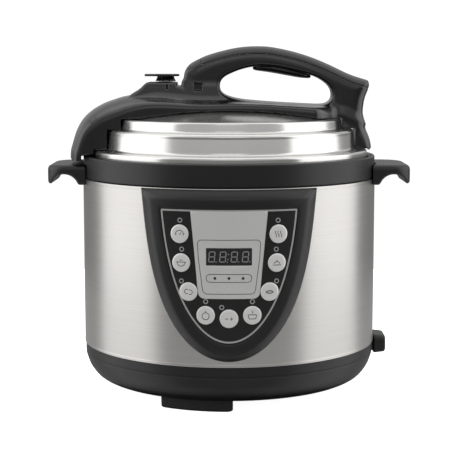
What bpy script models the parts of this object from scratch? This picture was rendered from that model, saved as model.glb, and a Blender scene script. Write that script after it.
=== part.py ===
"""Electric pressure cooker: base, steel shell, collar, pots, heater, control panel and bayonet lid.

Metres, +Z up. The origin is on the floor under the middle of the body. The control panel faces -Y
and the side handles point along X. Each sub-part is one named object.
"""

import math

import bmesh
import bpy
from mathutils import Matrix

# Driving dimensions: the body
ROUND_STEPS = 40
FINE_STEPS = 80
GAP = 0.0003
FOOT_HEIGHT = 0.0107
FOOT_OUTER_R = 0.114
FOOT_WIDTH = 0.018
FOOT_HALF_ANGLE = math.radians(18)
FOOT_ANGLES = {"foot_front": -106, "foot_right": 14, "foot_rear": 134}
BASE_HEIGHT = 0.0345
BASE_WALL = 0.0025
SHELL_R = 0.1375
SHELL_WALL = 0.0008
SHELL_HEIGHT = 0.1547
COLLAR_HEIGHT = 0.0203
COLLAR_WALL = 0.006
COLLAR_DROP = 0.0046

# Driving dimensions: the lid and its bayonet
LID_GAP = 0.0013
LID_WALL = 0.0015
FLANGE_RISE = 0.0053
FLANGE_STEP = 0.0112
MID_RING_RISE = 0.0188
MID_RING_STEP = 0.0124
TOP_RING_RISE = 0.0096
TOP_RIM_WIDTH = 0.0134
DOME_RISE = 0.009
SKIRT_DEPTH = 0.0222
TOOTH_COUNT = 8
TOOTH_HALF_ANGLE = math.radians(9.5)
TOOTH_HEIGHT = 0.0022
TOOTH_GAP = 0.002
LID_TOOTH_BITE = 0.0077
POT_TOOTH_REACH = 0.0092
LID_STUD_R = 0.0035

# Driving dimensions: pots, seal and heater
POT_CLEARANCE = 0.001
FRAME_WALL = 0.0013
INNER_GAP = 0.0014
INNER_WALL = 0.0016
INNER_FLOOR = 0.0024
FRAME_FLOOR_HEIGHT = 0.0245
RIM_HEIGHT = 0.0017
SEAL_WIDTH = 0.0099
PLATE_CLEARANCE = 0.0008
HEATER_R = 0.092
HEATER_THICKNESS = 0.0157
HUB_R = 0.020
PROBE_HOLE_R = 0.014
ELEMENT_R = 0.050
ELEMENT_TUBE_R = 0.0035
FRAME_HOLE_R = 0.060

# Driving dimensions: lid cover, handle and valves
COVER_HALF = 0.042
COVER_WALL = 0.0025
COVER_OVERHANG = 0.0122
COVER_SHORT = 0.0024
COVER_SHOULDER = 0.078
COVER_NECK = 0.104
COVER_TIP_ARC_R = 0.040
COVER_RISE = 0.0146
COVER_ARC_R = 0.124
LIP_DROP = 0.0031
HANDLE_HALF = 0.017
HANDLE_LEFT = -0.044
HANDLE_PEAK = 0.0275
HANDLE_RISE = 0.0672
HANDLE_TIP_RISE = 0.0346
HANDLE_THICKNESS = 0.0195
TOP_SHELL = 0.007
VALVE_X = -0.0595
VALVE_PIPE_R = 0.0055
VALVE_WELL_R = 0.010
HOUSING_RISE = 0.034
FLOAT_X = -0.025
FLOAT_Y = 0.026
FLOAT_R = 0.0026

# Driving dimensions: control panel
BEZEL_OUTER = 0.0077
BEZEL_TOP = 0.0007
BEZEL_DEPTH = 0.1485
BEZEL_HALF = 0.080
OVERLAY_TOP = 0.0165
OVERLAY_DEPTH = 0.1164
OVERLAY_HALF = 0.061
OVERLAY_PROUD = 0.0075
LEDGE = 0.0018
PLATE_TOP = 0.0183
PLATE_HEIGHT = 0.0748
PLATE_TOP_HALF = 0.0332
PLATE_LOW_CLEARANCE = 0.0010
WINDOW_TOP = 0.0494
WINDOW_HEIGHT = 0.015
WINDOW_HALF = 0.0196
BUTTON_R = 0.0080
BUTTON_PROUD = 0.0012
BUTTON_TRAVEL = 0.0008
# Each button's place: arc length to the right of the middle, and depth below the shell's top
BUTTONS = {
    "button_1": (-0.0427, 0.0378),
    "button_2": (-0.0414, 0.0625),
    "button_3": (-0.0350, 0.0873),
    "button_4": (-0.0200, 0.1073),
    "button_5": (0.0000, 0.1101),
    "button_6": (0.0200, 0.1073),
    "button_7": (0.0350, 0.0873),
    "button_8": (0.0414, 0.0625),
    "button_9": (0.0427, 0.0378),
}

# Driving dimensions: side handles, inlet and condensate cup
SIDE_REACH = 0.0310
SIDE_HALF = 0.040
SIDE_ROUND = 0.018
SIDE_THICKNESS = 0.0185
SIDE_TOP_DROP = 0.0079
GRIP_R = 0.0135
INLET_Y = 0.012
INLET_HALF = 0.0165
INLET_LOW = 0.0185
INLET_HEIGHT = 0.0181
INLET_REACH = 0.013
INLET_DEPTH = 0.0195
CUP_HALF = 0.034
CUP_HEIGHT = 0.055
CUP_DEPTH = 0.0105
CUP_WALL = 0.0015
CUP_DROP = 0.026

# Levels and radii worked out from the driving dimensions
BASE_LOW = FOOT_HEIGHT + GAP
BASE_TOP = BASE_LOW + BASE_HEIGHT
SHELL_LOW = BASE_TOP + GAP
SHELL_TOP = SHELL_LOW + SHELL_HEIGHT
COLLAR_LOW = SHELL_TOP + 2 * GAP
COLLAR_TOP = COLLAR_LOW + COLLAR_HEIGHT
COLLAR_R = SHELL_R - 0.0005
FLANGE_R = COLLAR_R - COLLAR_WALL - LID_GAP
MID_RING_R = FLANGE_R - FLANGE_STEP
TOP_RING_R = MID_RING_R - MID_RING_STEP
DOME_R = TOP_RING_R - TOP_RIM_WIDTH
FLANGE_Z = COLLAR_TOP + FLANGE_RISE
MID_RING_Z = FLANGE_Z + MID_RING_RISE
TOP_RING_Z = MID_RING_Z + TOP_RING_RISE
SKIRT_LOW = FLANGE_Z - SKIRT_DEPTH
FRAME_R = MID_RING_R - LID_WALL - POT_CLEARANCE
INNER_R = FRAME_R - FRAME_WALL - INNER_GAP
FRAME_FLOOR = BASE_TOP + FRAME_FLOOR_HEIGHT
FRAME_TOP = MID_RING_Z - 0.0125
HEATER_LOW = FRAME_FLOOR + FRAME_WALL + 0.0027
HEATER_TOP = HEATER_LOW + HEATER_THICKNESS
INNER_LOW = HEATER_TOP + GAP
INNER_TOP = FRAME_TOP + GAP + RIM_HEIGHT
SEAL_LOW = INNER_TOP + GAP
SEAL_TOP = MID_RING_Z - LID_WALL - GAP
SEAL_OUTER = MID_RING_R - LID_WALL - 2 * GAP
SEAL_INNER = SEAL_OUTER - SEAL_WIDTH
PLATE_Z = (SEAL_LOW + SEAL_TOP) / 2
COVER_LEFT = -(COLLAR_R + COVER_OVERHANG)
COVER_RIGHT = COLLAR_R - COVER_SHORT
COVER_TOP = TOP_RING_Z + COVER_RISE
HANDLE_TOP = TOP_RING_Z + HANDLE_RISE
HANDLE_TIP_Z = TOP_RING_Z + HANDLE_TIP_RISE
HANDLE_RIGHT = COVER_RIGHT - 0.0035
HOUSING_TOP = TOP_RING_Z + HOUSING_RISE
VALVE_SEAT = HOUSING_TOP - 0.002
OVERLAY_R = SHELL_R + OVERLAY_PROUD
BEZEL_R = SHELL_R + BEZEL_OUTER
PLATE_LOW_HALF = BUTTONS["button_7"][0] - BUTTON_R - PLATE_LOW_CLEARANCE
SEAT_R = OVERLAY_R - 0.003


def clear_scene():
    for old in list(bpy.data.objects):
        bpy.data.objects.remove(old, do_unlink=True)


def material(name, colour, roughness, metallic=0.0):
    made = bpy.data.materials.new(name)
    made.use_nodes = True
    shader = made.node_tree.nodes["Principled BSDF"]
    shader.inputs["Base Color"].default_value = (*colour, 1.0)
    shader.inputs["Roughness"].default_value = roughness
    shader.inputs["Metallic"].default_value = metallic
    return made


def finish(name, bm, coat, smooth=True):
    """Turns a bmesh into a linked object with outward faces, shaded smooth over its round faces."""
    bmesh.ops.recalc_face_normals(bm, faces=bm.faces)
    mesh = bpy.data.meshes.new(name)
    bm.to_mesh(mesh)
    bm.free()
    if smooth:
        mesh.shade_smooth()
        mesh.set_sharp_from_angle(angle=math.radians(35))
    made = bpy.data.objects.new(name, mesh)
    if coat:
        mesh.materials.append(material(name, *coat))
    bpy.context.scene.collection.objects.link(made)
    return made


def turned(name, outline, coat=None, steps=ROUND_STEPS, centre=(0.0, 0.0)):
    """Spins an outline of (radius, height) points about a vertical axis. Ends on the axis close it."""
    bm = bmesh.new()
    points = [bm.verts.new((radius, 0.0, height)) for radius, height in outline]
    ring = outline[0][0] > 0
    pairs = zip(points, points[1:] + points[:1] if ring else points[1:])
    edges = [bm.edges.new(pair) for pair in pairs]
    bmesh.ops.spin(bm, geom=points + edges, cent=(0, 0, 0), axis=(0, 0, 1), angle=math.tau,
                   steps=steps, use_merge=True)
    bmesh.ops.remove_doubles(bm, verts=bm.verts, dist=1e-6)
    bmesh.ops.translate(bm, verts=bm.verts, vec=(*centre, 0.0))
    return finish(name, bm, coat)


def prism(name, outline, low, high, coat=None, along="Z"):
    """Extrudes a flat outline from low to high along Z, or along Y with the outline's second value as Z."""
    bm = bmesh.new()
    corners = [(a, b, low) if along == "Z" else (a, low, b) for a, b in outline]
    face = bm.faces.new([bm.verts.new(corner) for corner in corners])
    made = bmesh.ops.extrude_face_region(bm, geom=[face])
    moved = [item for item in made["geom"] if isinstance(item, bmesh.types.BMVert)]
    rise = high - low
    bmesh.ops.translate(bm, verts=moved, vec=(0, 0, rise) if along == "Z" else (0, rise, 0))
    return finish(name, bm, coat)


def box(name, low, high, coat=None, bevel=0.0):
    bm = bmesh.new()
    bmesh.ops.create_cube(bm, size=1.0)
    size = [b - a for a, b in zip(low, high)]
    middle = [(a + b) / 2 for a, b in zip(low, high)]
    bmesh.ops.scale(bm, verts=bm.verts, vec=size)
    bmesh.ops.translate(bm, verts=bm.verts, vec=middle)
    if bevel:
        bmesh.ops.bevel(bm, geom=bm.edges, offset=bevel, segments=2, profile=0.5, affect="EDGES")
    return finish(name, bm, coat)


def rod(name, radius, length, place, coat=None, steps=24, tip_radius=None):
    """A round bar that starts at the matrix place and runs along its Z."""
    bm = bmesh.new()
    end = radius if tip_radius is None else tip_radius
    bmesh.ops.create_cone(bm, cap_ends=True, segments=steps, radius1=radius, radius2=end, depth=length)
    bmesh.ops.translate(bm, verts=bm.verts, vec=(0, 0, length / 2))
    bmesh.ops.transform(bm, verts=bm.verts, matrix=place)
    return finish(name, bm, coat)


def sectors(name, inner, outer, low, high, half_angle, first, count, steps=4):
    """Blocks of a ring, evenly spaced round the axis, as one cutter object."""
    bm = bmesh.new()
    for index in range(count):
        middle = first + index * math.tau / count
        angles = [middle - half_angle + 2 * half_angle * step / steps for step in range(steps + 1)]
        rim = [(outer * math.cos(a), outer * math.sin(a)) for a in angles]
        rim += [(inner * math.cos(a), inner * math.sin(a)) for a in reversed(angles)]
        face = bm.faces.new([bm.verts.new((x, y, low)) for x, y in rim])
        made = bmesh.ops.extrude_face_region(bm, geom=[face])
        moved = [item for item in made["geom"] if isinstance(item, bmesh.types.BMVert)]
        bmesh.ops.translate(bm, verts=moved, vec=(0, 0, high - low))
    return finish(name, bm, None)


def apply_shape(target, other, operation):
    """Adds a Boolean with a helper object, which is hidden from view and render."""
    other.hide_render = True
    other.display_type = "WIRE"
    step = target.modifiers.new(other.name, "BOOLEAN")
    step.operation = operation
    step.object = other
    return target


def cut(target, other):
    return apply_shape(target, other, "DIFFERENCE")


def add(target, other):
    return apply_shape(target, other, "UNION")


def keep(target, other):
    return apply_shape(target, other, "INTERSECT")


def upright(x, y, z):
    return Matrix.Translation((x, y, z))


def outward(angle, height, radius):
    """A frame on the body's side whose Z points away from the axis, at an angle from +X."""
    turn = Matrix.Rotation(angle, 4, "Z") @ Matrix.Rotation(math.pi / 2, 4, "Y")
    place = (radius * math.cos(angle), radius * math.sin(angle), height)
    return Matrix.Translation(place) @ turn


def quarter(start, end, power, count=7, flip=False):
    """Points of a superellipse quarter from start, which it leaves upright, or level if flipped."""
    points = []
    for index in range(count + 1):
        turn = math.pi / 2 * index / count
        rise = math.sin(turn) ** (2 / power)
        run = 1 - math.cos(turn) ** (2 / power)
        if flip:
            rise, run = run, rise
        points.append((start[0] + (end[0] - start[0]) * run, start[1] + (end[1] - start[1]) * rise))
    return points


BLACK = (0.012, 0.012, 0.013)
STEEL = (0.60, 0.59, 0.57)
ALUMINIUM = (0.62, 0.62, 0.63)


def build_base():
    """A bowl with a flat floor, a tapering wall and an inner lip that stands inside the shell."""
    wall = BASE_WALL
    outer = SHELL_R - 0.0009
    lip = SHELL_R - SHELL_WALL - GAP - 0.0012
    floor_r = outer - 0.0186
    base = turned("base", [
        (0.0, BASE_LOW), (floor_r, BASE_LOW), (floor_r + 0.0049, BASE_LOW + 0.0021),
        (floor_r + 0.0124, BASE_LOW + 0.0080), (floor_r + 0.0165, BASE_LOW + 0.0150),
        (outer, BASE_LOW + 0.0240), (outer, BASE_TOP), (lip, BASE_TOP), (lip, BASE_TOP + 0.0065),
        (lip - 0.002, BASE_TOP + 0.0065), (outer - wall - 0.002, BASE_TOP - 0.004),
        (outer - wall - 0.001, BASE_LOW + 0.0245), (floor_r + 0.0130, BASE_LOW + 0.0155),
        (floor_r + 0.0095, BASE_LOW + 0.0100), (floor_r + 0.002, BASE_LOW + 0.0045),
        (floor_r - 0.002, BASE_LOW + wall), (0.0, BASE_LOW + wall)], (BLACK, 0.45))
    for index, (x, y) in enumerate(board_corners()):
        place = upright(x, y, BASE_LOW + wall / 2)
        add(base, rod(f"base_post_{index}", 0.003, 0.0098 - wall / 2, place, steps=12))
    cut(base, box("inlet_cut", (SHELL_R - 0.03, INLET_Y - INLET_HALF + 0.0017, inlet_low() - GAP),
                  (SHELL_R + 0.01, INLET_Y + INLET_HALF - 0.0017, BASE_TOP - 0.0015)))
    for name, angle in FOOT_ANGLES.items():
        foot = sectors(name, FOOT_OUTER_R - FOOT_WIDTH, FOOT_OUTER_R, 0.0, FOOT_HEIGHT,
                       FOOT_HALF_ANGLE, math.radians(angle), 1, steps=8)
        foot.data.materials.append(material(name, (0.02, 0.02, 0.02), 0.8))
        soften = foot.modifiers.new("round_edges", "BEVEL")
        soften.width = 0.0015
        soften.segments = 1


def board_corners():
    return [(x, y) for x in (-0.050, 0.050) for y in (-0.034, 0.034)]


def inlet_low():
    return BASE_LOW + INLET_LOW


def build_shell():
    """The brushed steel band, with an opening behind the control panel."""
    shell = turned("outer_shell", [
        (SHELL_R, SHELL_TOP), (SHELL_R, SHELL_LOW), (SHELL_R - SHELL_WALL, SHELL_LOW),
        (SHELL_R - SHELL_WALL, SHELL_TOP)], (STEEL, 0.3, 1.0), steps=FINE_STEPS)
    opening = prism("shell_opening", drop_outline(OVERLAY_TOP, OVERLAY_DEPTH, OVERLAY_HALF, 2.6, LEDGE * 2),
                    -SHELL_R - 0.02, 0.0, along="Y")
    cut(shell, opening)


def build_collar():
    """The black band round the rim, with a lip that drops inside the steel shell."""
    inner = COLLAR_R - COLLAR_WALL
    lip = SHELL_R - SHELL_WALL - 2 * GAP
    turned("collar", [
        (COLLAR_R, COLLAR_TOP - 0.001), (COLLAR_R, COLLAR_LOW), (lip, COLLAR_LOW),
        (lip, COLLAR_LOW - COLLAR_DROP), (inner + 0.002, COLLAR_LOW - COLLAR_DROP),
        (inner, COLLAR_LOW - COLLAR_DROP + 0.002), (inner, COLLAR_TOP - 0.001),
        (inner + 0.001, COLLAR_TOP), (COLLAR_R - 0.001, COLLAR_TOP)], (BLACK, 0.35))
    for name, side in (("side_handle_left", -1), ("side_handle_right", 1)):
        build_side_handle(name, side)


def build_side_handle(name, side):
    """A shelf that stands out from the collar, hollowed below for the fingers."""
    root = COLLAR_R - 0.02
    reach = COLLAR_R + SIDE_REACH + 0.0005
    tip = [(reach - SIDE_ROUND + SIDE_ROUND * math.cos(a),
            SIDE_HALF - SIDE_ROUND + SIDE_ROUND * math.sin(a))
           for a in [math.pi / 2 * step / 6 for step in range(7)]]
    outline = [(root, -SIDE_HALF)] + [(x, -y) for x, y in reversed(tip)] + tip + [(root, SIDE_HALF)]
    outline = [(side * x, y) for x, y in outline]
    top = COLLAR_TOP - SIDE_TOP_DROP
    handle = prism(name, outline, top - SIDE_THICKNESS, top, (BLACK, 0.4))
    soften = handle.modifiers.new("round_edges", "BEVEL")
    soften.width = 0.002
    soften.segments = 2
    soften.limit_method = "ANGLE"
    soften.angle_limit = math.radians(60)
    cut(handle, rod(f"{name}_seat", SHELL_R + GAP, 2 * SIDE_THICKNESS,
                    upright(0, 0, top - 1.5 * SIDE_THICKNESS), steps=FINE_STEPS))
    hollow = Matrix.Translation((side * (reach - 0.0165), 1.5 * SIDE_HALF, top - SIDE_THICKNESS - 0.0045))
    hollow = hollow @ Matrix.Rotation(math.pi / 2, 4, "X")
    cut(handle, rod(f"{name}_hollow", GRIP_R, 3 * SIDE_HALF, hollow, steps=24))


def build_pots():
    """The fixed outer pot with its outward bayonet teeth, and the inner pot that lifts out of it."""
    inner = FRAME_R - FRAME_WALL
    flange = COLLAR_R - 0.002
    flange_z = COLLAR_LOW - COLLAR_DROP - 0.003
    pot = turned("outer_pot", [
        (FRAME_R, FRAME_TOP), (FRAME_R, flange_z + 0.0015), (flange, flange_z + 0.0015),
        (flange, flange_z), (FRAME_R, flange_z), (FRAME_R, FRAME_FLOOR + 0.018),
        (FRAME_R - 0.003, FRAME_FLOOR + 0.008), (FRAME_R - 0.010, FRAME_FLOOR + 0.0015),
        (FRAME_R - 0.016, FRAME_FLOOR), (FRAME_HOLE_R, FRAME_FLOOR),
        (FRAME_HOLE_R, FRAME_FLOOR + FRAME_WALL), (FRAME_R - 0.0165, FRAME_FLOOR + FRAME_WALL),
        (FRAME_R - 0.011, FRAME_FLOOR + 0.003), (FRAME_R - 0.0043, FRAME_FLOOR + 0.009),
        (inner, FRAME_FLOOR + 0.018), (inner, FRAME_TOP)], (ALUMINIUM, 0.4, 1.0))
    tooth_low = SKIRT_LOW + TOOTH_HEIGHT + TOOTH_GAP
    add(pot, sectors("pot_teeth", FRAME_R - FRAME_WALL / 2, FRAME_R + POT_TOOTH_REACH, tooth_low,
                     tooth_low + TOOTH_HEIGHT, TOOTH_HALF_ANGLE, 0.0, TOOTH_COUNT))
    wall = INNER_WALL
    turned("inner_pot", [
        (0.0, INNER_LOW), (INNER_R - 0.016, INNER_LOW), (INNER_R - 0.0068, INNER_LOW + 0.0026),
        (INNER_R - 0.0016, INNER_LOW + 0.008), (INNER_R, INNER_LOW + 0.016), (INNER_R, FRAME_TOP + GAP),
        (FRAME_R, FRAME_TOP + GAP), (FRAME_R, INNER_TOP), (INNER_R - wall, INNER_TOP),
        (INNER_R - wall, INNER_LOW + 0.016), (INNER_R - 0.0035, INNER_LOW + 0.0095),
        (INNER_R - 0.0082, INNER_LOW + 0.0048), (INNER_R - 0.0165, INNER_LOW + INNER_FLOOR),
        (0.0, INNER_LOW + INNER_FLOOR)], ((0.05, 0.05, 0.05), 0.4))


def build_heater():
    """The cast plate with its hub, the tubular element, the plate spring, the probe and the switch."""
    hub_low = FRAME_FLOOR - 0.010
    turned("heating_plate", [
        (HEATER_R, HEATER_TOP - 0.003), (HEATER_R, HEATER_LOW), (HUB_R, HEATER_LOW), (HUB_R, hub_low),
        (PROBE_HOLE_R, hub_low), (PROBE_HOLE_R, HEATER_TOP), (HEATER_R - 0.003, HEATER_TOP)],
        (ALUMINIUM, 0.5, 1.0))
    middle = HEATER_LOW - GAP - ELEMENT_TUBE_R
    turned("heating_element", [
        (ELEMENT_R + ELEMENT_TUBE_R * math.cos(a), middle - ELEMENT_TUBE_R * math.sin(a))
        for a in [math.tau * step / 6 for step in range(6)]], ((0.2, 0.2, 0.2), 0.5, 1.0), steps=24)
    spring_z = hub_low - GAP - 0.0012
    turned("plate_spring", [
        (FRAME_HOLE_R + 0.004, FRAME_FLOOR - GAP), (FRAME_HOLE_R + 0.004, FRAME_FLOOR - GAP - 0.0012),
        (FRAME_HOLE_R, FRAME_FLOOR - GAP - 0.0012), (FRAME_HOLE_R - 0.004, spring_z),
        (HUB_R - 0.002, spring_z),
        (HUB_R - 0.002, spring_z + 0.0012), (FRAME_HOLE_R - 0.0047, spring_z + 0.0012),
        (FRAME_HOLE_R - 0.0007, FRAME_FLOOR - GAP)], (STEEL, 0.35, 1.0))
    bracket_top = hub_low - GAP
    build_probe(bracket_top)
    box("thermal_fuse", (-0.010, 0.028, HEATER_LOW - GAP - 0.006), (0.010, 0.034, HEATER_LOW - GAP),
        ((0.7, 0.7, 0.65), 0.5), bevel=0.001)
    switch_x = HUB_R + 0.008
    top = spring_z - GAP
    switch = box("pressure_switch", (switch_x - 0.009, -0.007, top - 0.020),
                 (switch_x + 0.011, 0.007, top - 0.003), ((0.75, 0.72, 0.62), 0.5))
    cut(switch, rod("switch_bore", 0.0028, 0.012, upright(switch_x, 0, top - 0.013), steps=16))
    rod("switch_plunger", 0.0025, 0.009, upright(switch_x, 0, top - 0.009), ((0.6, 0.1, 0.08), 0.4),
        steps=16)


def build_probe(bracket_top):
    """The sprung temperature probe in the hub, held by a small dished bracket."""
    turned("probe_bracket", [
        (HUB_R - 0.0035, bracket_top), (HUB_R - 0.0035, bracket_top - 0.003),
        (0.0034, bracket_top - 0.003), (0.0034, bracket_top - 0.002),
        (HUB_R - 0.0055, bracket_top - 0.002), (HUB_R - 0.0055, bracket_top)], (STEEL, 0.4, 1.0), steps=24)
    cap_low = HEATER_TOP - 0.0105
    turned("temperature_probe", [
        (0.0, HEATER_TOP), (0.0095, HEATER_TOP), (0.0105, HEATER_TOP - 0.001), (0.0105, cap_low),
        (0.003, cap_low), (0.003, bracket_top - 0.006), (0.0, bracket_top - 0.006)],
        (ALUMINIUM, 0.35, 1.0), steps=24)
    low = bracket_top - 0.002 + GAP
    coil_spring("probe_spring", 0.0065, 0.0008, low, cap_low - GAP, 4)


def coil_spring(name, radius, wire, low, high, turns):
    """Adds a round wire carried along a rising helix, as a curve with closed ends."""
    curve = bpy.data.curves.new(name, "CURVE")
    curve.dimensions = "3D"
    curve.bevel_depth = wire
    curve.bevel_resolution = 1
    curve.use_fill_caps = True
    count = turns * 10
    line = curve.splines.new("POLY")
    line.points.add(count)
    for index, point in enumerate(line.points):
        turn = math.tau * turns * index / count
        rise = (high - low - 2 * wire) * index / count
        point.co = (radius * math.cos(turn), radius * math.sin(turn), low + wire + rise, 1.0)
    spring = bpy.data.objects.new(name, curve)
    curve.materials.append(material(name, STEEL, 0.3, 1.0))
    bpy.context.scene.collection.objects.link(spring)


def build_electrics():
    """The power board on the base's posts, and the control board with the display behind the panel."""
    low = BASE_LOW + 0.0101
    x, y = 0.056, 0.040
    board = box("power_board", (-x, -y, low), (x, y, low + 0.0016), ((0.03, 0.12, 0.05), 0.5))
    parts = (("transformer", -0.030, 0.010, 0.013, 0.011, 0.016),
             ("relay", 0.024, -0.016, 0.010, 0.008, 0.014),
             ("capacitor", 0.030, 0.018, 0.008, 0.006, 0.012),
             ("terminals", -0.030, -0.022, 0.018, 0.005, 0.010))
    for name, px, py, half_x, half_y, tall in parts:
        add(board, box(f"board_{name}", (px - half_x, py - half_y, low + 0.0008),
                       (px + half_x, py + half_y, low + 0.0016 + tall)))
    board_y = -(SHELL_R - 0.0155)
    low_z, high_z = SHELL_TOP - 0.122, SHELL_TOP - 0.022
    control = box("control_board", (-0.046, board_y, low_z), (0.046, board_y + 0.0016, high_z),
                  ((0.03, 0.12, 0.05), 0.5))
    add(control, box("buzzer", (0.024, board_y + 0.0008, high_z - 0.030),
                     (0.036, board_y + 0.0050, high_z - 0.018)))
    top = SHELL_TOP - WINDOW_TOP
    box("display_module", (-WINDOW_HALF, -SEAT_R + 0.0045, top - WINDOW_HEIGHT),
        (WINDOW_HALF, board_y - GAP, top), ((0.03, 0.03, 0.03), 0.3))


def drop_outline(top, depth, half, power, shrink=0.0, rounding=0.004):
    """The panel's shield outline: level top with rounded corners, sides that draw in to a round tip.

    The half width along the arc is half times (1 - 0.2 t) times the square root of (1 - t to the power),
    where t runs from 0 at the top to 1 at the tip.
    """
    high = SHELL_TOP - top - shrink
    depth -= 2 * shrink
    right = []
    for index in range(15):
        t = 1 - (1 - index / 14) ** 1.7
        width = (half - shrink) * (1 - 0.2 * t) * math.sqrt(max(0.0, 1 - t ** power))
        if index == 0:
            right.append((arc_x(width - rounding), high))
            right.append((arc_x(width - rounding * 0.3), high - rounding * 0.3))
            right.append((arc_x(width), high - rounding))
        elif index < 14:
            right.append((arc_x(width), high - rounding - (depth - rounding) * t))
    tip = [(0.0, high - depth)]
    return right + tip + [(-x, z) for x, z in reversed(right)]


def arc_x(arc):
    """The X of a point whose distance round the panel's surface from the middle is arc."""
    return OVERLAY_R * math.sin(arc / OVERLAY_R)


def panel_angle(arc):
    return -math.pi / 2 + arc / OVERLAY_R


def panel_layer(name, inner, outer, outline, coat):
    """A curved sheet: the ring between two radii, kept where the outline carried along Y meets it."""
    low = min(z for _, z in outline) - 0.002
    high = max(z for _, z in outline) + 0.002
    sheet = turned(name, [(outer, high), (outer, low), (inner, low), (inner, high)], coat, steps=FINE_STEPS)
    return keep(sheet, prism(f"{name}_outline", outline, -outer - 0.01, 0.0, along="Y"))


def plate_outline(inset=0.0):
    top = SHELL_TOP - PLATE_TOP - inset
    low = top - PLATE_HEIGHT + 2 * inset
    wide, narrow = PLATE_TOP_HALF - inset, PLATE_LOW_HALF - inset
    right = [(arc_x(wide), top), (arc_x(narrow), low + 0.004), (arc_x(narrow - 0.001), low + 0.0012),
             (arc_x(narrow - 0.004), low)]
    return right + [(-x, z) for x, z in reversed(right)]


def window_outline(inset=0.0):
    top = SHELL_TOP - WINDOW_TOP - inset
    low = top - WINDOW_HEIGHT + 2 * inset
    half = arc_x(WINDOW_HALF - inset)
    return [(half, top), (half, low), (-half, low), (-half, top)]


def build_panel():
    """The raised bezel, the black face, the grey centre plate, the window and nine round buttons."""
    bezel = panel_layer("panel_bezel", SHELL_R + GAP, BEZEL_R,
                        drop_outline(BEZEL_TOP, BEZEL_DEPTH, BEZEL_HALF, 3.2), (BLACK, 0.3))
    seat = panel_layer("bezel_seat", SEAT_R, BEZEL_R + 0.01,
                       drop_outline(OVERLAY_TOP, OVERLAY_DEPTH, OVERLAY_HALF, 2.6, -GAP), None)
    cut(bezel, seat)
    cut(bezel, prism("bezel_opening", drop_outline(OVERLAY_TOP, OVERLAY_DEPTH, OVERLAY_HALF, 2.6, LEDGE),
                     -BEZEL_R - 0.01, 0.0, along="Y"))
    overlay = panel_layer("panel_overlay", SEAT_R + GAP, OVERLAY_R,
                          drop_outline(OVERLAY_TOP, OVERLAY_DEPTH, OVERLAY_HALF, 2.6),
                          ((0.01, 0.01, 0.01), 0.3))
    cut(overlay, prism("overlay_window", window_outline(0.001), -OVERLAY_R - 0.01, 0.0, along="Y"))
    plate = panel_layer("panel_plate", OVERLAY_R + GAP, OVERLAY_R + 0.001, plate_outline(),
                        ((0.55, 0.55, 0.55), 0.35))
    cut(plate, prism("plate_window", window_outline(-GAP), -OVERLAY_R - 0.01, 0.0, along="Y"))
    panel_layer("display_lens", OVERLAY_R + GAP, OVERLAY_R + 0.0009, window_outline(),
                ((0.06, 0.06, 0.06), 0.1))
    for name, (arc, drop) in BUTTONS.items():
        build_button(name, overlay, bezel, arc, drop)


def build_button(name, overlay, bezel, arc, drop):
    """A cap that passes through the face, with a wider flange behind it that keeps it in."""
    angle = panel_angle(arc)
    height = SHELL_TOP - drop
    back = SEAT_R - BUTTON_TRAVEL - 0.0022
    cap = rod(name, BUTTON_R, OVERLAY_R + BUTTON_PROUD - back, outward(angle, height, back),
              ((0.55, 0.55, 0.55), 0.3, 0.8), steps=16)
    add(cap, rod(f"{name}_flange", BUTTON_R + 0.001, 0.0015, outward(angle, height, back - 0.0005),
                 steps=16))
    cut(overlay, rod(f"{name}_hole", BUTTON_R + GAP, 0.02, outward(angle, height, SEAT_R - 0.005),
                     steps=16))
    cut(bezel, rod(f"{name}_room", BUTTON_R + 0.001 + GAP, 0.012, outward(angle, height, back - 0.001),
                   steps=16))


def lid_surface(clearance=0.0):
    """The lid's outer outline from the axis to the flange, stood off by a clearance."""
    dome = [(DOME_R * step / 4,
             TOP_RING_Z + DOME_RISE * (1 - (step / 4) ** 2) + clearance) for step in range(5)]
    ring = [(TOP_RING_R - 0.001 + clearance, TOP_RING_Z + clearance),
            (TOP_RING_R + clearance, TOP_RING_Z - 0.001 + clearance),
            (TOP_RING_R + clearance, MID_RING_Z + clearance),
            (MID_RING_R - 0.001 + clearance, MID_RING_Z + clearance),
            (MID_RING_R + clearance, MID_RING_Z - 0.001 + clearance),
            (MID_RING_R + clearance, FLANGE_Z + clearance),
            (FLANGE_R - 0.001 + clearance, FLANGE_Z + clearance),
            (FLANGE_R + clearance, FLANGE_Z - 0.001 + clearance)]
    return dome + ring


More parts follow.
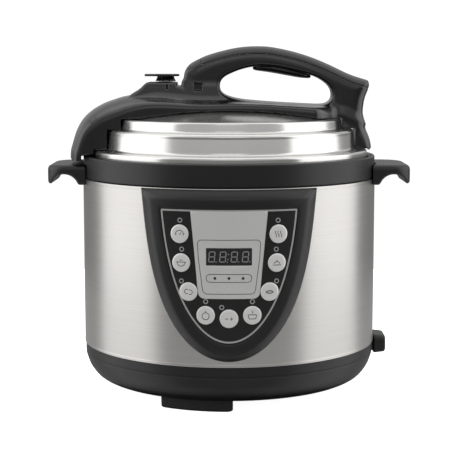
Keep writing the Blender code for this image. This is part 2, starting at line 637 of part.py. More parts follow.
def build_lid():
    """The polished pressing: dome, two rings, flange and a skirt with inward teeth."""
    wall = LID_WALL
    outside = lid_surface() + [(FLANGE_R, SKIRT_LOW)]
    inside = [(FLANGE_R - wall, SKIRT_LOW), (FLANGE_R - wall, FLANGE_Z - wall),
              (MID_RING_R - wall, FLANGE_Z - wall),
              (MID_RING_R - wall, MID_RING_Z - wall), (TOP_RING_R - wall, MID_RING_Z - wall),
              (TOP_RING_R - wall, TOP_RING_Z - wall)]
    inside += [(DOME_R * step / 4,
                TOP_RING_Z + DOME_RISE * (1 - (step / 4) ** 2) - wall) for step in range(4, -1, -1)]
    lid = turned("lid_pan", outside + inside, (STEEL, 0.12, 1.0))
    pitch = math.pi / TOOTH_COUNT
    add(lid, sectors("lid_teeth", FLANGE_R - wall - LID_TOOTH_BITE, FLANGE_R - wall / 2, SKIRT_LOW,
                     SKIRT_LOW + TOOTH_HEIGHT, TOOTH_HALF_ANGLE, pitch, TOOTH_COUNT))
    under = TOP_RING_Z + DOME_RISE - wall
    stud_low = PLATE_Z - 0.006
    add(lid, rod("lid_stud", LID_STUD_R, under + wall / 2 - stud_low, upright(0, 0, stud_low), steps=16))
    cut(lid, rod("pipe_hole", VALVE_PIPE_R + GAP, 0.04, upright(VALVE_X, 0, MID_RING_Z), steps=24))
    cut(lid, rod("float_hole", FLOAT_R + 0.0005, 0.04, upright(FLOAT_X, FLOAT_Y, MID_RING_Z), steps=16))
    build_lid_inside(stud_low, under)


def build_lid_inside(stud_low, under):
    """The sealing ring, its support plate and nut, the steam pipe with its filter cap, and the float."""
    turned("sealing_ring", [
        (SEAL_OUTER, SEAL_TOP - 0.001), (SEAL_OUTER, SEAL_LOW + 0.001), (SEAL_OUTER - 0.001, SEAL_LOW),
        (SEAL_INNER + 0.004, SEAL_LOW), (SEAL_INNER + 0.003, SEAL_LOW + 0.0025),
        (SEAL_INNER, SEAL_LOW + 0.003),
        (SEAL_INNER, SEAL_TOP), (SEAL_OUTER - 0.001, SEAL_TOP)], ((0.75, 0.75, 0.72), 0.5))
    plate = turned("seal_support_plate", [
        (SEAL_INNER - PLATE_CLEARANCE, PLATE_Z + 0.0012), (SEAL_INNER - PLATE_CLEARANCE, PLATE_Z),
        (LID_STUD_R + GAP, PLATE_Z),
        (LID_STUD_R + GAP, PLATE_Z + 0.0012)], (STEEL, 0.3, 1.0))
    cap_r = 0.0132
    cut(plate, rod("cap_hole", cap_r + 0.0018, 0.01, upright(VALVE_X, 0, PLATE_Z - 0.005), steps=32))
    cut(plate, rod("float_clearance", 0.007, 0.01, upright(FLOAT_X, FLOAT_Y, PLATE_Z - 0.005), steps=24))
    nut_low = stud_low - 0.0015
    nut = rod("lid_nut", 0.008, PLATE_Z - GAP - nut_low, upright(0, 0, nut_low),
              ((0.02, 0.02, 0.02), 0.4), steps=24)
    cut(nut, rod("nut_bore", LID_STUD_R + GAP, 0.02, upright(0, 0, stud_low - GAP), steps=16))
    pipe_low = under - 0.0115
    turned("steam_pipe", [
        (0.0092, pipe_low + 0.0045), (0.0092, pipe_low + 0.0020), (VALVE_PIPE_R, pipe_low + 0.0020),
        (VALVE_PIPE_R, pipe_low), (0.003, pipe_low), (0.003, VALVE_SEAT), (0.0042, VALVE_SEAT),
        (VALVE_PIPE_R, VALVE_SEAT - 0.003), (VALVE_PIPE_R, pipe_low + 0.0045)],
        (STEEL, 0.3, 1.0), steps=24, centre=(VALVE_X, 0.0))
    cap_low, cap_top = PLATE_Z - 0.0052, pipe_low + 0.0017
    cap = turned("filter_cap", [
        (0.0, cap_low), (cap_r, cap_low), (cap_r, cap_top), (cap_r - 0.0015, cap_top),
        (cap_r - 0.0015, cap_low + 0.0015), (0.0, cap_low + 0.0015)],
        (STEEL, 0.35, 1.0), steps=24, centre=(VALVE_X, 0.0))
    for index in range(3):
        turn = Matrix.Rotation(index * math.pi / 3, 4, "Z")
        turn = Matrix.Translation((VALVE_X, 0, cap_low + 0.004)) @ turn
        slot = box(f"cap_slot_{index}", (-0.02, -0.0015, 0.0), (0.02, 0.0015, 0.003))
        slot.data.transform(turn)
        cut(cap, slot)
    build_float()


def lid_height(x, y):
    """The height of the lid's outer surface on the dome."""
    return TOP_RING_Z + DOME_RISE * (1 - (x * x + y * y) / DOME_R ** 2)


def build_float():
    """The safety float: a pin that hangs through the lid by its head, with a small seal on its flange."""
    seat = lid_height(FLOAT_X, FLOAT_Y) + 0.0006
    low = seat - 0.0108
    centre = (FLOAT_X, FLOAT_Y)
    turned("float_pin", [
        (0.0, seat + 0.003), (0.0036, seat + 0.003), (0.0042, seat + 0.0024), (0.0042, seat),
        (FLOAT_R, seat),
        (FLOAT_R, low + 0.002), (0.0048, low + 0.002), (0.0048, low), (0.0, low)],
        ((0.6, 0.1, 0.08), 0.35), steps=20, centre=centre)
    turned("float_seal", [
        (0.0046, low + 0.0038), (0.0046, low + 0.0023), (FLOAT_R + GAP, low + 0.0023),
        (FLOAT_R + GAP, low + 0.0038)],
        ((0.6, 0.6, 0.58), 0.6), steps=20, centre=centre)


def cover_outline(inset=0.0):
    """The cover seen from the front: round left end with a lip, long low crown, round right end."""
    left, right = COVER_LEFT + inset, COVER_RIGHT - inset
    top = COVER_TOP - inset
    lip = COLLAR_TOP - LIP_DROP - 4 * inset
    right_low = FLANGE_Z + 0.0009 - 4 * inset
    shoulder = TOP_RING_Z + 0.0075 - inset
    outline = quarter((left, lip), (left + 0.062, shoulder), 2.5)
    outline += [(left + 0.11, top - 0.0035), (0.01, top), (right - 0.05, shoulder + 0.001)]
    outline += quarter((right, right_low), (right - 0.035, shoulder - 0.003), 2.6)[::-1]
    outline += [(left + 0.03, right_low), (left + 0.005, lip)]
    return outline


def cover_half(x):
    """Half the cover's width at x: full up to the shoulder, then eased down to the handle's width."""
    share = min(1.0, max(0.0, (x - COVER_SHOULDER) / (COVER_NECK - COVER_SHOULDER)))
    return COVER_HALF + (HANDLE_HALF - COVER_HALF) * share * share * (3 - 2 * share)


def cover_plan(inset=0.0):
    """The cover's outline from above: a broad bowed left end, and a right end as narrow as the handle."""
    half = COVER_HALF - inset
    angles = [math.asin(half / COVER_ARC_R) * step / 4 for step in range(-4, 5)]
    left = [(COVER_LEFT + inset + COVER_ARC_R * (1 - math.cos(a)),
             -COVER_ARC_R * math.sin(a)) for a in angles]
    neck = [(x, cover_half(x) - inset) for x in span(COVER_SHOULDER, COVER_NECK, 6)]
    tip_angle = math.asin((HANDLE_HALF - inset) / COVER_TIP_ARC_R)
    tip = [(COVER_RIGHT - inset - COVER_TIP_ARC_R * (1 - math.cos(a)), COVER_TIP_ARC_R * math.sin(a))
           for a in span(-tip_angle, tip_angle, 6)]
    return [(x, -y) for x, y in neck] + tip + neck[::-1] + left


def handle_height(x, drop=0.0):
    """The handle's top: an ellipse quarter left of the peak, a drawn-out cosine right of it."""
    if x < HANDLE_PEAK:
        share = min(1.0, (HANDLE_PEAK - x) / (HANDLE_PEAK - HANDLE_LEFT))
        low = TOP_RING_Z + 0.035
        return low + (HANDLE_TOP - low) * math.sqrt(1 - share ** 2) - drop
    share = min(1.0, (x - HANDLE_PEAK) / (HANDLE_RIGHT - HANDLE_PEAK))
    fall = max(0.0, math.cos(share * math.pi / 2)) ** 1.3
    return HANDLE_TIP_Z + (HANDLE_TOP - HANDLE_TIP_Z) * fall - drop


def span(start, end, count):
    return [start + (end - start) * index / count for index in range(count + 1)]


def build_cover():
    """The black cover over the lid, with the valve housing and the lower part of the arched handle."""
    coat = (BLACK, 0.3)
    cover = prism("lid_cover", cover_outline(), -COVER_HALF, COVER_HALF, coat, along="Y")
    keep(cover, prism("cover_plan", cover_plan(), SKIRT_LOW, HANDLE_TOP))
    inner = prism("cover_inside", cover_outline(COVER_WALL), -COVER_HALF + COVER_WALL,
                  COVER_HALF - COVER_WALL, along="Y")
    keep(inner, prism("cover_inner_plan", cover_plan(COVER_WALL), SKIRT_LOW - 0.02, HANDLE_TOP))
    cut(cover, inner)
    foot_z = TOP_RING_Z + 0.0108
    housing = [(VALVE_X - 0.034, foot_z), (VALVE_X - 0.030, foot_z + 0.010),
               (VALVE_X - 0.018, HOUSING_TOP - 0.003),
               (VALVE_X - 0.014, HOUSING_TOP), (VALVE_X + 0.016, HOUSING_TOP),
               (VALVE_X + 0.022, HOUSING_TOP - 0.008),
               (VALVE_X + 0.022, foot_z)]
    add(cover, prism("valve_housing", housing, -HANDLE_HALF, HANDLE_HALF, along="Y"))
    add(cover, prism("handle_lower", handle_outline(foot_z), -HANDLE_HALF, HANDLE_HALF, along="Y"))
    cut(cover, prism("finger_gap", finger_gap_outline(foot_z), -COVER_HALF, COVER_HALF, along="Y"))
    add(cover, rod("well_wall", VALVE_WELL_R + COVER_WALL, HOUSING_TOP - 0.004 - TOP_RING_Z,
                   upright(VALVE_X, 0, TOP_RING_Z), steps=32))
    envelope = lid_surface(0.0006)[1:]
    ledge = COLLAR_TOP + 0.0012
    lip = COLLAR_R + 0.0045
    envelope = [(0.0, lid_surface(0.0006)[0][1])] + envelope
    below = SKIRT_LOW - 0.03
    envelope += [(FLANGE_R + 0.0006, ledge), (lip, ledge), (lip, below), (0.0, below)]
    cut(cover, turned("lid_envelope", envelope))
    well_low = lid_height(VALVE_X, 0) + 0.008
    cut(cover, rod("valve_well", VALVE_WELL_R, 0.05, upright(VALVE_X, 0, well_low), steps=32))
    cut(cover, rod("pipe_clearance", VALVE_PIPE_R + 0.004, 0.03, upright(VALVE_X, 0, MID_RING_Z), steps=24))
    cut(cover, rod("float_window", 0.0055, 0.03, upright(FLOAT_X, FLOAT_Y, TOP_RING_Z), steps=20))
    build_handle_shells(coat)
    build_valve()


def handle_outline(foot_z):
    """The lower part of the arch, with its finger gap still filled: left leg, arch, right leg."""
    drop = TOP_SHELL + GAP
    left = HANDLE_LEFT + TOP_SHELL
    outer = [(x, handle_height(x, drop)) for x in span(left + 0.001, HANDLE_RIGHT - 0.004, 20)]
    outer += [(HANDLE_RIGHT - 0.0045, outer[-1][1] - 0.006), (HANDLE_RIGHT - 0.0065, foot_z + 0.004),
              (HANDLE_RIGHT - 0.0062, foot_z - 0.008)]
    return outer + [(HANDLE_LEFT, foot_z - 0.004), (HANDLE_LEFT + 0.001, TOP_RING_Z + 0.028)]


def finger_gap_outline(foot_z):
    """The opening under the arch: a curved roof that follows the handle and a floor that sags to the left."""
    right = HANDLE_RIGHT - 0.0365
    roof = [(x, handle_height(x, HANDLE_THICKNESS)) for x in span(right - 0.004, -0.0005, 10)]
    floor = [(-0.0065, foot_z + 0.0190), (-0.0035, foot_z + 0.0135), (0.006, foot_z + 0.0090),
             (0.045, foot_z + 0.0050), (right - 0.004, foot_z + 0.0035), (right, foot_z + 0.008)]
    return roof + floor


def build_handle_shells(coat):
    """The top shell that closes the arch, and the glossy grip strip on its underside."""
    outer = [(x, handle_height(x)) for x in span(HANDLE_LEFT + 0.002, HANDLE_RIGHT, 24)]
    back = span(HANDLE_RIGHT - 0.004, HANDLE_LEFT + TOP_SHELL + 0.001, 20)
    inner = [(x, handle_height(x, TOP_SHELL)) for x in back]
    prism("handle_top_cover", outer + inner, -HANDLE_HALF, HANDLE_HALF, coat, along="Y")
    depth = 0.0022
    low = [(x, handle_height(x, HANDLE_THICKNESS + GAP)) for x in span(0.022, 0.077, 8)]
    under = [(x, z - GAP - depth) for x, z in low[1:-1]]
    prism("grip_strip", low + under[::-1], -HANDLE_HALF + 0.003, HANDLE_HALF - 0.003, (BLACK, 0.12),
          along="Y")


def build_valve():
    """The weight that sits on the steam pipe, and the turning plate on top of it."""
    top = HOUSING_TOP + 0.0002
    turned("valve_weight", [
        (0.0, top), (0.0070, top), (0.0080, top - 0.001), (0.0080, top - 0.0135),
        (VALVE_PIPE_R + 0.0006, top - 0.0135), (VALVE_PIPE_R + 0.0006, VALVE_SEAT + GAP),
        (0.0, VALVE_SEAT + GAP)],
        (STEEL, 0.3, 1.0), steps=24, centre=(VALVE_X, 0.0))
    stem_low = top + GAP
    plate_low = stem_low + 0.0046
    angles = [math.pi * step / 10 - math.pi / 2 for step in range(11)]
    outline = [(VALVE_X + 0.013 * math.cos(a), 0.013 * math.sin(a)) for a in angles]
    outline += [(VALVE_X - 0.0165, 0.0100), (VALVE_X - 0.0195, 0.0070), (VALVE_X - 0.0195, -0.0070),
                (VALVE_X - 0.0165, -0.0100)]
    knob = prism("valve_knob", outline, plate_low, plate_low + 0.0022, (BLACK, 0.3))
    add(knob, rod("knob_stem", 0.0095, plate_low - stem_low + 0.001, upright(VALVE_X, 0, stem_low),
                  steps=24, tip_radius=0.0070))


def build_inlet():
    """The mains socket low on the right, with its shroud outside the base and three contact pins."""
    low = inlet_low()
    half = INLET_HALF - 0.002
    face = SHELL_R + INLET_REACH
    inlet = box("mains_inlet", (SHELL_R + 0.0008, INLET_Y - INLET_HALF, low), (face, INLET_Y + INLET_HALF,
                low + INLET_HEIGHT), (BLACK, 0.45), bevel=0.002)
    add(inlet, box("inlet_body", (SHELL_R - INLET_DEPTH, INLET_Y - half, low),
                   (SHELL_R + 0.003, INLET_Y + half, BASE_TOP - 0.0018)))
    cut(inlet, box("inlet_socket", (SHELL_R - INLET_DEPTH + 0.003, INLET_Y - half + 0.0017, low + 0.0018),
                   (face + 0.002, INLET_Y + half - 0.0017, BASE_TOP - 0.0035)))
    pins = {"inlet_pin_line": -0.0075, "inlet_pin_earth": 0.0, "inlet_pin_neutral": 0.0075}
    middle = (low + BASE_TOP) / 2
    for name, offset in pins.items():
        y = INLET_Y + offset
        cut(inlet, box(f"{name}_slot", (SHELL_R - 0.03, y - 0.0013, middle - 0.0023),
                       (SHELL_R - INLET_DEPTH + 0.006, y + 0.0013, middle + 0.0023)))
        box(name, (SHELL_R - INLET_DEPTH - 0.004, y - 0.001, middle - 0.002),
            (SHELL_R + 0.004, y + 0.001, middle + 0.002), ((0.7, 0.6, 0.35), 0.3, 1.0))


def build_cup():
    """The condensate cup at the back, which slides out of a bracket with two side rails."""
    high = SHELL_TOP - CUP_DROP
    low = high - CUP_HEIGHT
    back = SHELL_R + 0.0010
    rail = CUP_HALF + 0.0004
    bracket = turned("cup_bracket", [
        (back + 0.004, high + 0.008), (back + 0.004, low - 0.002), (SHELL_R + GAP, low - 0.002),
        (SHELL_R + GAP, high + 0.008)], (BLACK, 0.4), steps=FINE_STEPS)
    keep(bracket, box("bracket_outline", (-rail - 0.0025, 0.0, low - 0.001),
                      (rail + 0.0025, 1.2 * SHELL_R, high + 0.006)))
    pocket = turned("bracket_pocket", [
        (back + 0.02, high + 0.001), (back + 0.02, low - 0.003), (back, low - 0.003), (back, high + 0.001)],
        steps=FINE_STEPS)
    keep(pocket, box("pocket_outline", (-rail, 0.0, low - 0.01), (rail, 1.3 * SHELL_R, high + 0.002)))
    cut(bracket, pocket)
    inside = back + GAP
    cup = turned("condensate_cup", [
        (inside + CUP_DEPTH, high), (inside + CUP_DEPTH, low + 0.004),
                                    (inside + CUP_DEPTH - 0.004, low), (inside, low),
        (inside, high)], ((0.5, 0.5, 0.52), 0.25), steps=FINE_STEPS)
    keep(cup, box("cup_outline", (-CUP_HALF, 0.0, low - 0.01), (CUP_HALF, 1.3 * SHELL_R, high + 0.01)))
    hollow = turned("cup_hollow", [
        (inside + CUP_DEPTH - CUP_WALL, high + 0.002), (inside + CUP_DEPTH - CUP_WALL, low + 0.005),
        (inside + CUP_DEPTH - 0.005, low + CUP_WALL), (inside + CUP_WALL, low + CUP_WALL),
        (inside + CUP_WALL, high + 0.002)], steps=FINE_STEPS)
    keep(hollow, box("cup_hollow_outline", (-CUP_HALF + CUP_WALL, 0.0, low - 0.01),
                     (CUP_HALF - CUP_WALL, 1.3 * SHELL_R, high + 0.01)))
    cut(cup, hollow)


clear_scene()
build_base()
build_shell()
build_collar()
build_pots()
build_heater()
build_electrics()
build_panel()
build_lid()
build_cover()
build_inlet()
build_cup()
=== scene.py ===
import math

import bmesh
import bpy
import numpy as np
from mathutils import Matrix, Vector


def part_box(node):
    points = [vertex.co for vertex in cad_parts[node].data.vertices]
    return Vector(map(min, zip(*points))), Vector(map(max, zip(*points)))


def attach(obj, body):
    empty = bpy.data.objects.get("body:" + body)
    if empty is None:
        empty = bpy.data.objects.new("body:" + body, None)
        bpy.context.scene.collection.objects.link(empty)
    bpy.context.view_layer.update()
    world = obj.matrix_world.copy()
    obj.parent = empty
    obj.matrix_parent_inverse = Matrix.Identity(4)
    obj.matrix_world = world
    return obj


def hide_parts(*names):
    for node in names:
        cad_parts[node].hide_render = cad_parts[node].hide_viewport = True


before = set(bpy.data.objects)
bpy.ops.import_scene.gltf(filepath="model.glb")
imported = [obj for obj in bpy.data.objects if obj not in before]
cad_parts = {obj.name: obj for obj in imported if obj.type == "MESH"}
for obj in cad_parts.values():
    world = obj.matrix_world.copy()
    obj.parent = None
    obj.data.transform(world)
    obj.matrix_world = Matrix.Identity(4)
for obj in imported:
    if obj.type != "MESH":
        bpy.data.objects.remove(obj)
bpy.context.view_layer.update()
print("frame loaded")

mm = 0.001
fullTurn = 2 * math.pi


# places that come from the frame
def corners(node):
    low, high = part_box(node)
    return np.array(low), np.array(high)


shellLow, shellHigh = corners("outer_shell")
collarLow, collarHigh = corners("collar")
baseLow, baseHigh = corners("base")
lidLow, lidHigh = corners("lid_pan")
coverLow = corners("lid_cover")[0]
handleLow, handleHigh = corners("handle_top_cover")
shellR = shellHigh[0]
collarR = collarHigh[0]
flangeR = lidHigh[0]
faceR = -corners("panel_overlay")[0][1]   # radius of the control panel's black face
shellTop = shellHigh[2]
collarTop = collarHigh[2]
valveX = float(np.mean([corners("valve_weight")[0][0], corners("valve_weight")[1][0]]))


# mesh helpers: every shape is a set of point arrays and face arrays
def unit(vectors):
    return vectors / np.maximum(np.linalg.norm(vectors, axis=-1, keepdims=True), 1e-12)


def roundedProfile(points, closed=True, steps=5):
    # each corner (a, b, radius) becomes a short parabola between two points at that distance from it,
    # with one more point just outside each end, which keeps the flats flat in the shading
    data = np.array(points, float)
    place, radius = data[:, :2], data[:, 2]
    toLast = np.roll(place, 1, 0) - place
    toNext = np.roll(place, -1, 0) - place
    reachLast = np.minimum(radius, 0.42 * np.linalg.norm(toLast, axis=1))[:, None]
    reachNext = np.minimum(radius, 0.42 * np.linalg.norm(toNext, axis=1))[:, None]
    if not closed:
        reachLast[0] = reachNext[0] = reachLast[-1] = reachNext[-1] = 0
    start = place + unit(toLast) * reachLast
    end = place + unit(toNext) * reachNext
    t = np.linspace(0, 1, steps)[None, :, None]
    bend = (1 - t) ** 2 * start[:, None] + 2 * t * (1 - t) * place[:, None] + t ** 2 * end[:, None]
    before = (place + unit(toLast) * reachLast * 1.12)[:, None]
    after = (place + unit(toNext) * reachNext * 1.12)[:, None]
    return np.concatenate([before, bend, after], 1).reshape(-1, 2)


def smoothCurve(points, steps=12, closed=True):
    # Catmull-Rom curve through the points: each stretch is a cubic blend of its four nearest points
    p = np.array(points, float)
    if closed:
        p0, p1, p2, p3 = np.roll(p, 1, 0), p, np.roll(p, -1, 0), np.roll(p, -2, 0)
    else:
        padded = np.concatenate([2 * p[:1] - p[1:2], p, 2 * p[-1:] - p[-2:-1]])
        p0, p1, p2, p3 = padded[:-3], padded[1:-2], padded[2:-1], padded[3:]
    t = np.linspace(0, 1, steps, endpoint=False)[None, :, None]
    p0, p1, p2, p3 = p0[:, None], p1[:, None], p2[:, None], p3[:, None]
    curve = 0.5 * (2 * p1 + (p2 - p0) * t + (2 * p0 - 5 * p1 + 4 * p2 - p3) * t ** 2
                   + (3 * p1 - p0 - 3 * p2 + p3) * t ** 3)
    curve = curve.reshape(-1, p.shape[1])
    return curve if closed else np.concatenate([curve, p[-1:]])


def gridPart(grid, wrapU=False, wrapV=False, capU=False):
    # grid[i, j] is a point; neighbours join into quads, a wrapped direction joins its ends,
    # and capU closes the first and last rows with a fan of one face each
    nu, nv = grid.shape[:2]
    index = np.arange(nu * nv).reshape(nu, nv)
    if wrapU:
        index = np.concatenate([index, index[:1]], 0)
    if wrapV:
        index = np.concatenate([index, index[:, :1]], 1)
    quads = np.stack([index[:-1, :-1], index[1:, :-1], index[1:, 1:], index[:-1, 1:]], -1).reshape(-1, 4)
    faces = quads.tolist()
    if capU:
        faces += [index[0, :nv].tolist(), index[nu - 1, :nv].tolist()]
    return grid.reshape(-1, 3), faces


def turnedPart(profile, steps=160, centre=(0.0, 0.0), wrap=True):
    # a profile of (radius, height) carried round a vertical axis: x = r cos a, y = r sin a
    angle = np.linspace(0, fullTurn, steps, endpoint=False)
    r, z = np.array(profile)[:, 0][:, None], np.array(profile)[:, 1][:, None]
    grid = np.stack([centre[0] + r * np.cos(angle), centre[1] + r * np.sin(angle), z + 0 * angle], -1)
    return gridPart(grid, wrapU=wrap, wrapV=True)


def makePiece(name, parts, material, body, replaced=(), sharp=38):
    # joins the parts into one mesh, merges what coincides, and turns every closed shell outwards
    points, faces, offset = [], [], 0
    for partPoints, partFaces in parts:
        points.append(partPoints)
        faces += [[i + offset for i in face] for face in partFaces]
        offset += len(partPoints)
    mesh = bpy.data.meshes.new(name)
    mesh.from_pydata(np.concatenate(points).tolist(), [], faces)
    work = bmesh.new()
    work.from_mesh(mesh)
    bmesh.ops.remove_doubles(work, verts=work.verts, dist=1e-6)
    bmesh.ops.dissolve_degenerate(work, edges=work.edges, dist=1e-7)
    bmesh.ops.recalc_face_normals(work, faces=work.faces)
    work.to_mesh(mesh)
    work.free()
    mesh.shade_smooth()
    mesh.set_sharp_from_angle(angle=math.radians(sharp))
    mesh.materials.append(material)
    piece = bpy.data.objects.new(name, mesh)
    bpy.context.scene.collection.objects.link(piece)
    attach(piece, body)
    if replaced:
        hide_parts(*replaced)
    return piece


# rounded solids from distance fields
def softMax(a, b, width):
    # the greater of two distances, with the crease rounded over the width
    share = np.clip(0.5 + 0.5 * (a - b) / width, 0, 1)
    return a * share + b * (1 - share) + width * share * (1 - share)


def softMin(a, b, width):
    return -softMax(-a, -b, width)


def smoothStep(low, high, x):
    t = np.clip((x - low) / (high - low), 0, 1)
    return t * t * (3 - 2 * t)


class OutlineField:
    # signed distance to a closed flat outline, kept on a fine grid and read between its points

    def __init__(self, outline, margin=12 * mm, step=0.5 * mm):
        self.step = step
        self.low = outline.min(0) - margin
        count = np.ceil((outline.max(0) + margin - self.low) / step).astype(int) + 1
        u = self.low[0] + step * np.arange(count[0])
        v = self.low[1] + step * np.arange(count[1])
        start, run = outline[None], (np.roll(outline, -1, 0) - outline)[None]
        rows = []
        for value in v:
            point = np.stack([u, np.full_like(u, value)], -1)[:, None] - start
            along = np.clip((point * run).sum(-1) / np.maximum((run ** 2).sum(-1), 1e-18), 0, 1)
            distance = np.linalg.norm(point - along[..., None] * run, axis=-1).min(1)
            level = (point[..., 1] < 0) != (point[..., 1] < run[..., 1])
            slope = point[..., 0] - point[..., 1] / np.where(run[..., 1] == 0, 1e-18, run[..., 1]) * run[...,
                                                                                                         0]
            inside = (level & (slope < 0)).sum(1) % 2 == 1
            rows.append(np.where(inside, -distance, distance))
        self.values = np.array(rows).T

    def __call__(self, u, v):
        # bilinear reading; outside the grid the nearest value grows with the distance to it
        a = (u - self.low[0]) / self.step
        b = (v - self.low[1]) / self.step
        topA, topB = self.values.shape[0] - 1.001, self.values.shape[1] - 1.001
        ca, cb = np.clip(a, 0, topA), np.clip(b, 0, topB)
        beyond = np.hypot(a - ca, b - cb) * self.step
        i, j = ca.astype(int), cb.astype(int)
        fa, fb = ca - i, cb - j
        f = self.values
        read = (f[i, j] * (1 - fa) * (1 - fb) + f[i + 1, j] * fa * (1 - fb)
                + f[i, j + 1] * (1 - fa) * fb + f[i + 1, j + 1] * fa * fb)
        return read + beyond


def skinPart(field, low, high, step):
    # the surface where the field is zero: one point in each cell that it crosses, set at the mean of the
    # crossings on the cell's edges, then moved onto the surface along the field's slope
    low, high = np.array(low), np.array(high)
    count = np.ceil((high - low) / step).astype(int) + 1
    axes = [low[k] + step * np.arange(count[k]) for k in range(3)]
    x, y, z = np.meshgrid(*axes, indexing="ij", sparse=True)
    value = field(x, y, z)
    inside = value < 0
    cells = tuple(count - 1)
    total, crossings = np.zeros(cells + (3,)), np.zeros(cells)
    offsets = [(a, b) for a in (0, 1) for b in (0, 1)]
    for axis in range(3):
        others = [k for k in range(3) if k != axis]
        for a, b in offsets:
            start = [slice(0, -1)] * 3
            start[others[0]] = slice(a, a - 1 or None)
            start[others[1]] = slice(b, b - 1 or None)
            end = list(start)
            end[axis] = slice(1, None)
            first, last = value[tuple(start)], value[tuple(end)]
            crossed = (first < 0) != (last < 0)
            share = np.where(crossed, first / np.where(first == last, 1, first - last), 0)
            crossings += crossed
            total[..., axis] += share * crossed
            total[..., others[0]] += a * crossed
            total[..., others[1]] += b * crossed
    active = crossings > 0
    number = np.full(cells, -1)
    number[active] = np.arange(active.sum())
    place = np.argwhere(active) + total[active] / crossings[active][:, None]
    points = low + step * place
    for _ in range(3):
        h = 0.15 * step
        here = field(points[:, 0], points[:, 1], points[:, 2])
        slope = np.stack([
            field(*(points + h * np.eye(3)[k]).T) - field(*(points - h * np.eye(3)[k]).T) for k in range(3)],
            -1) / (2 * h)
        size = np.maximum((slope ** 2).sum(-1), 0.2)
        points = points - np.clip(here / size, -0.6 * step, 0.6 * step)[:, None] * slope
    faces = []
    for axis in range(3):
        others = [k for k in range(3) if k != axis]
        start, end = [slice(1, -1)] * 3, [slice(1, -1)] * 3
        start[axis], end[axis] = slice(0, -1), slice(1, None)
        crossed = inside[tuple(start)] != inside[tuple(end)]
        at = np.argwhere(crossed)
        at[:, others[0]] += 1
        at[:, others[1]] += 1
        shift = np.eye(3, dtype=int)
        around = [at, at - shift[others[0]], at - shift[others[0]] - shift[others[1]], at - shift[others[1]]]
        ring = np.stack([number[tuple(c.T)] for c in around], -1)
        faces += ring.tolist()
    return points, faces


# materials
def fromHex(code):
    # sRGB hex to linear red, green, blue and alpha
    parts = np.array([int(code[i:i + 2], 16) for i in (1, 3, 5)]) / 255
    linear = np.where(parts <= 0.04045, parts / 12.92, ((parts + 0.055) / 1.055) ** 2.4)
    return (*linear.tolist(), 1.0)


def addNode(tree, kind, inputs=None, **settings):
    made = tree.nodes.new(kind)
    for name, value in settings.items():
        setattr(made, name, value)
    for name, value in (inputs or {}).items():
        if isinstance(value, bpy.types.NodeSocket):
            tree.links.new(value, made.inputs[name])
        else:
            made.inputs[name].default_value = value
    return made


def startMaterial(name, values):
    material = bpy.data.materials.new(name)
    material.use_nodes = True
    tree = material.node_tree
    shader = tree.nodes["Principled BSDF"]
    for socket, value in values.items():
        shader.inputs[socket].default_value = value
    place = addNode(tree, "ShaderNodeTexCoord").outputs["Object"]
    return material, tree, shader, place


def linkTo(tree, output, socket):
    tree.links.new(output, socket)


def mixColours(tree, factor, low, high):
    ramp = addNode(tree, "ShaderNodeMix", {"Factor": factor}, data_type="RGBA")
    ramp.inputs["A"].default_value = fromHex(low)
    ramp.inputs["B"].default_value = fromHex(high)
    return ramp.outputs["Result"]


mouldedBlack = {"colourLow": "#09090a", "colourHigh": "#101011", "roughness": 0.38, "grainPerMetre": 900,
                "grainDepth": 0.00006}
glossBlack = {"colourLow": "#060607", "colourHigh": "#0b0b0c", "roughness": 0.24, "ripplePerMetre": 45,
              "rippleDepth": 0.00008}
hairlineSteel = {"colourLow": "#bdbbb8", "colourHigh": "#d2d0cc", "roughness": 0.3, "linesPerMetre": 1500}
mirrorSteel = {"colourLow": "#d2d1ce", "colourHigh": "#dddcda", "roughness": 0.2}


def satinPolypropylene(name, sizes):
    # injection-moulded PP with a fine spark-eroded grain: soft broad highlights and a faint sparkle
    material, tree, shader, place = startMaterial(name, {"Roughness": sizes["roughness"], "IOR": 1.49,
                                                         "Specular IOR Level": 0.5})
    grain = addNode(tree, "ShaderNodeTexNoise",
                    {"Vector": place, "Scale": sizes["grainPerMetre"], "Detail": 3.0})
    drift = addNode(tree, "ShaderNodeTexNoise", {"Vector": place, "Scale": 14.0, "Detail": 2.0})
    linkTo(tree, mixColours(tree, drift.outputs["Fac"], sizes["colourLow"], sizes["colourHigh"]),
           shader.inputs["Base Color"])
    rough = addNode(tree, "ShaderNodeMapRange",
                    {"Value": grain.outputs["Fac"], "From Min": 0.3, "From Max": 0.7,
                                                 "To Min": sizes["roughness"] - 0.05,
                                                 "To Max": sizes["roughness"] + 0.08})
    linkTo(tree, rough.outputs["Result"], shader.inputs["Roughness"])
    bump = addNode(tree, "ShaderNodeBump", {"Height": grain.outputs["Fac"], "Strength": 0.35,
                                            "Distance": sizes["grainDepth"]})
    linkTo(tree, bump.outputs["Normal"], shader.inputs["Normal"])
    return material


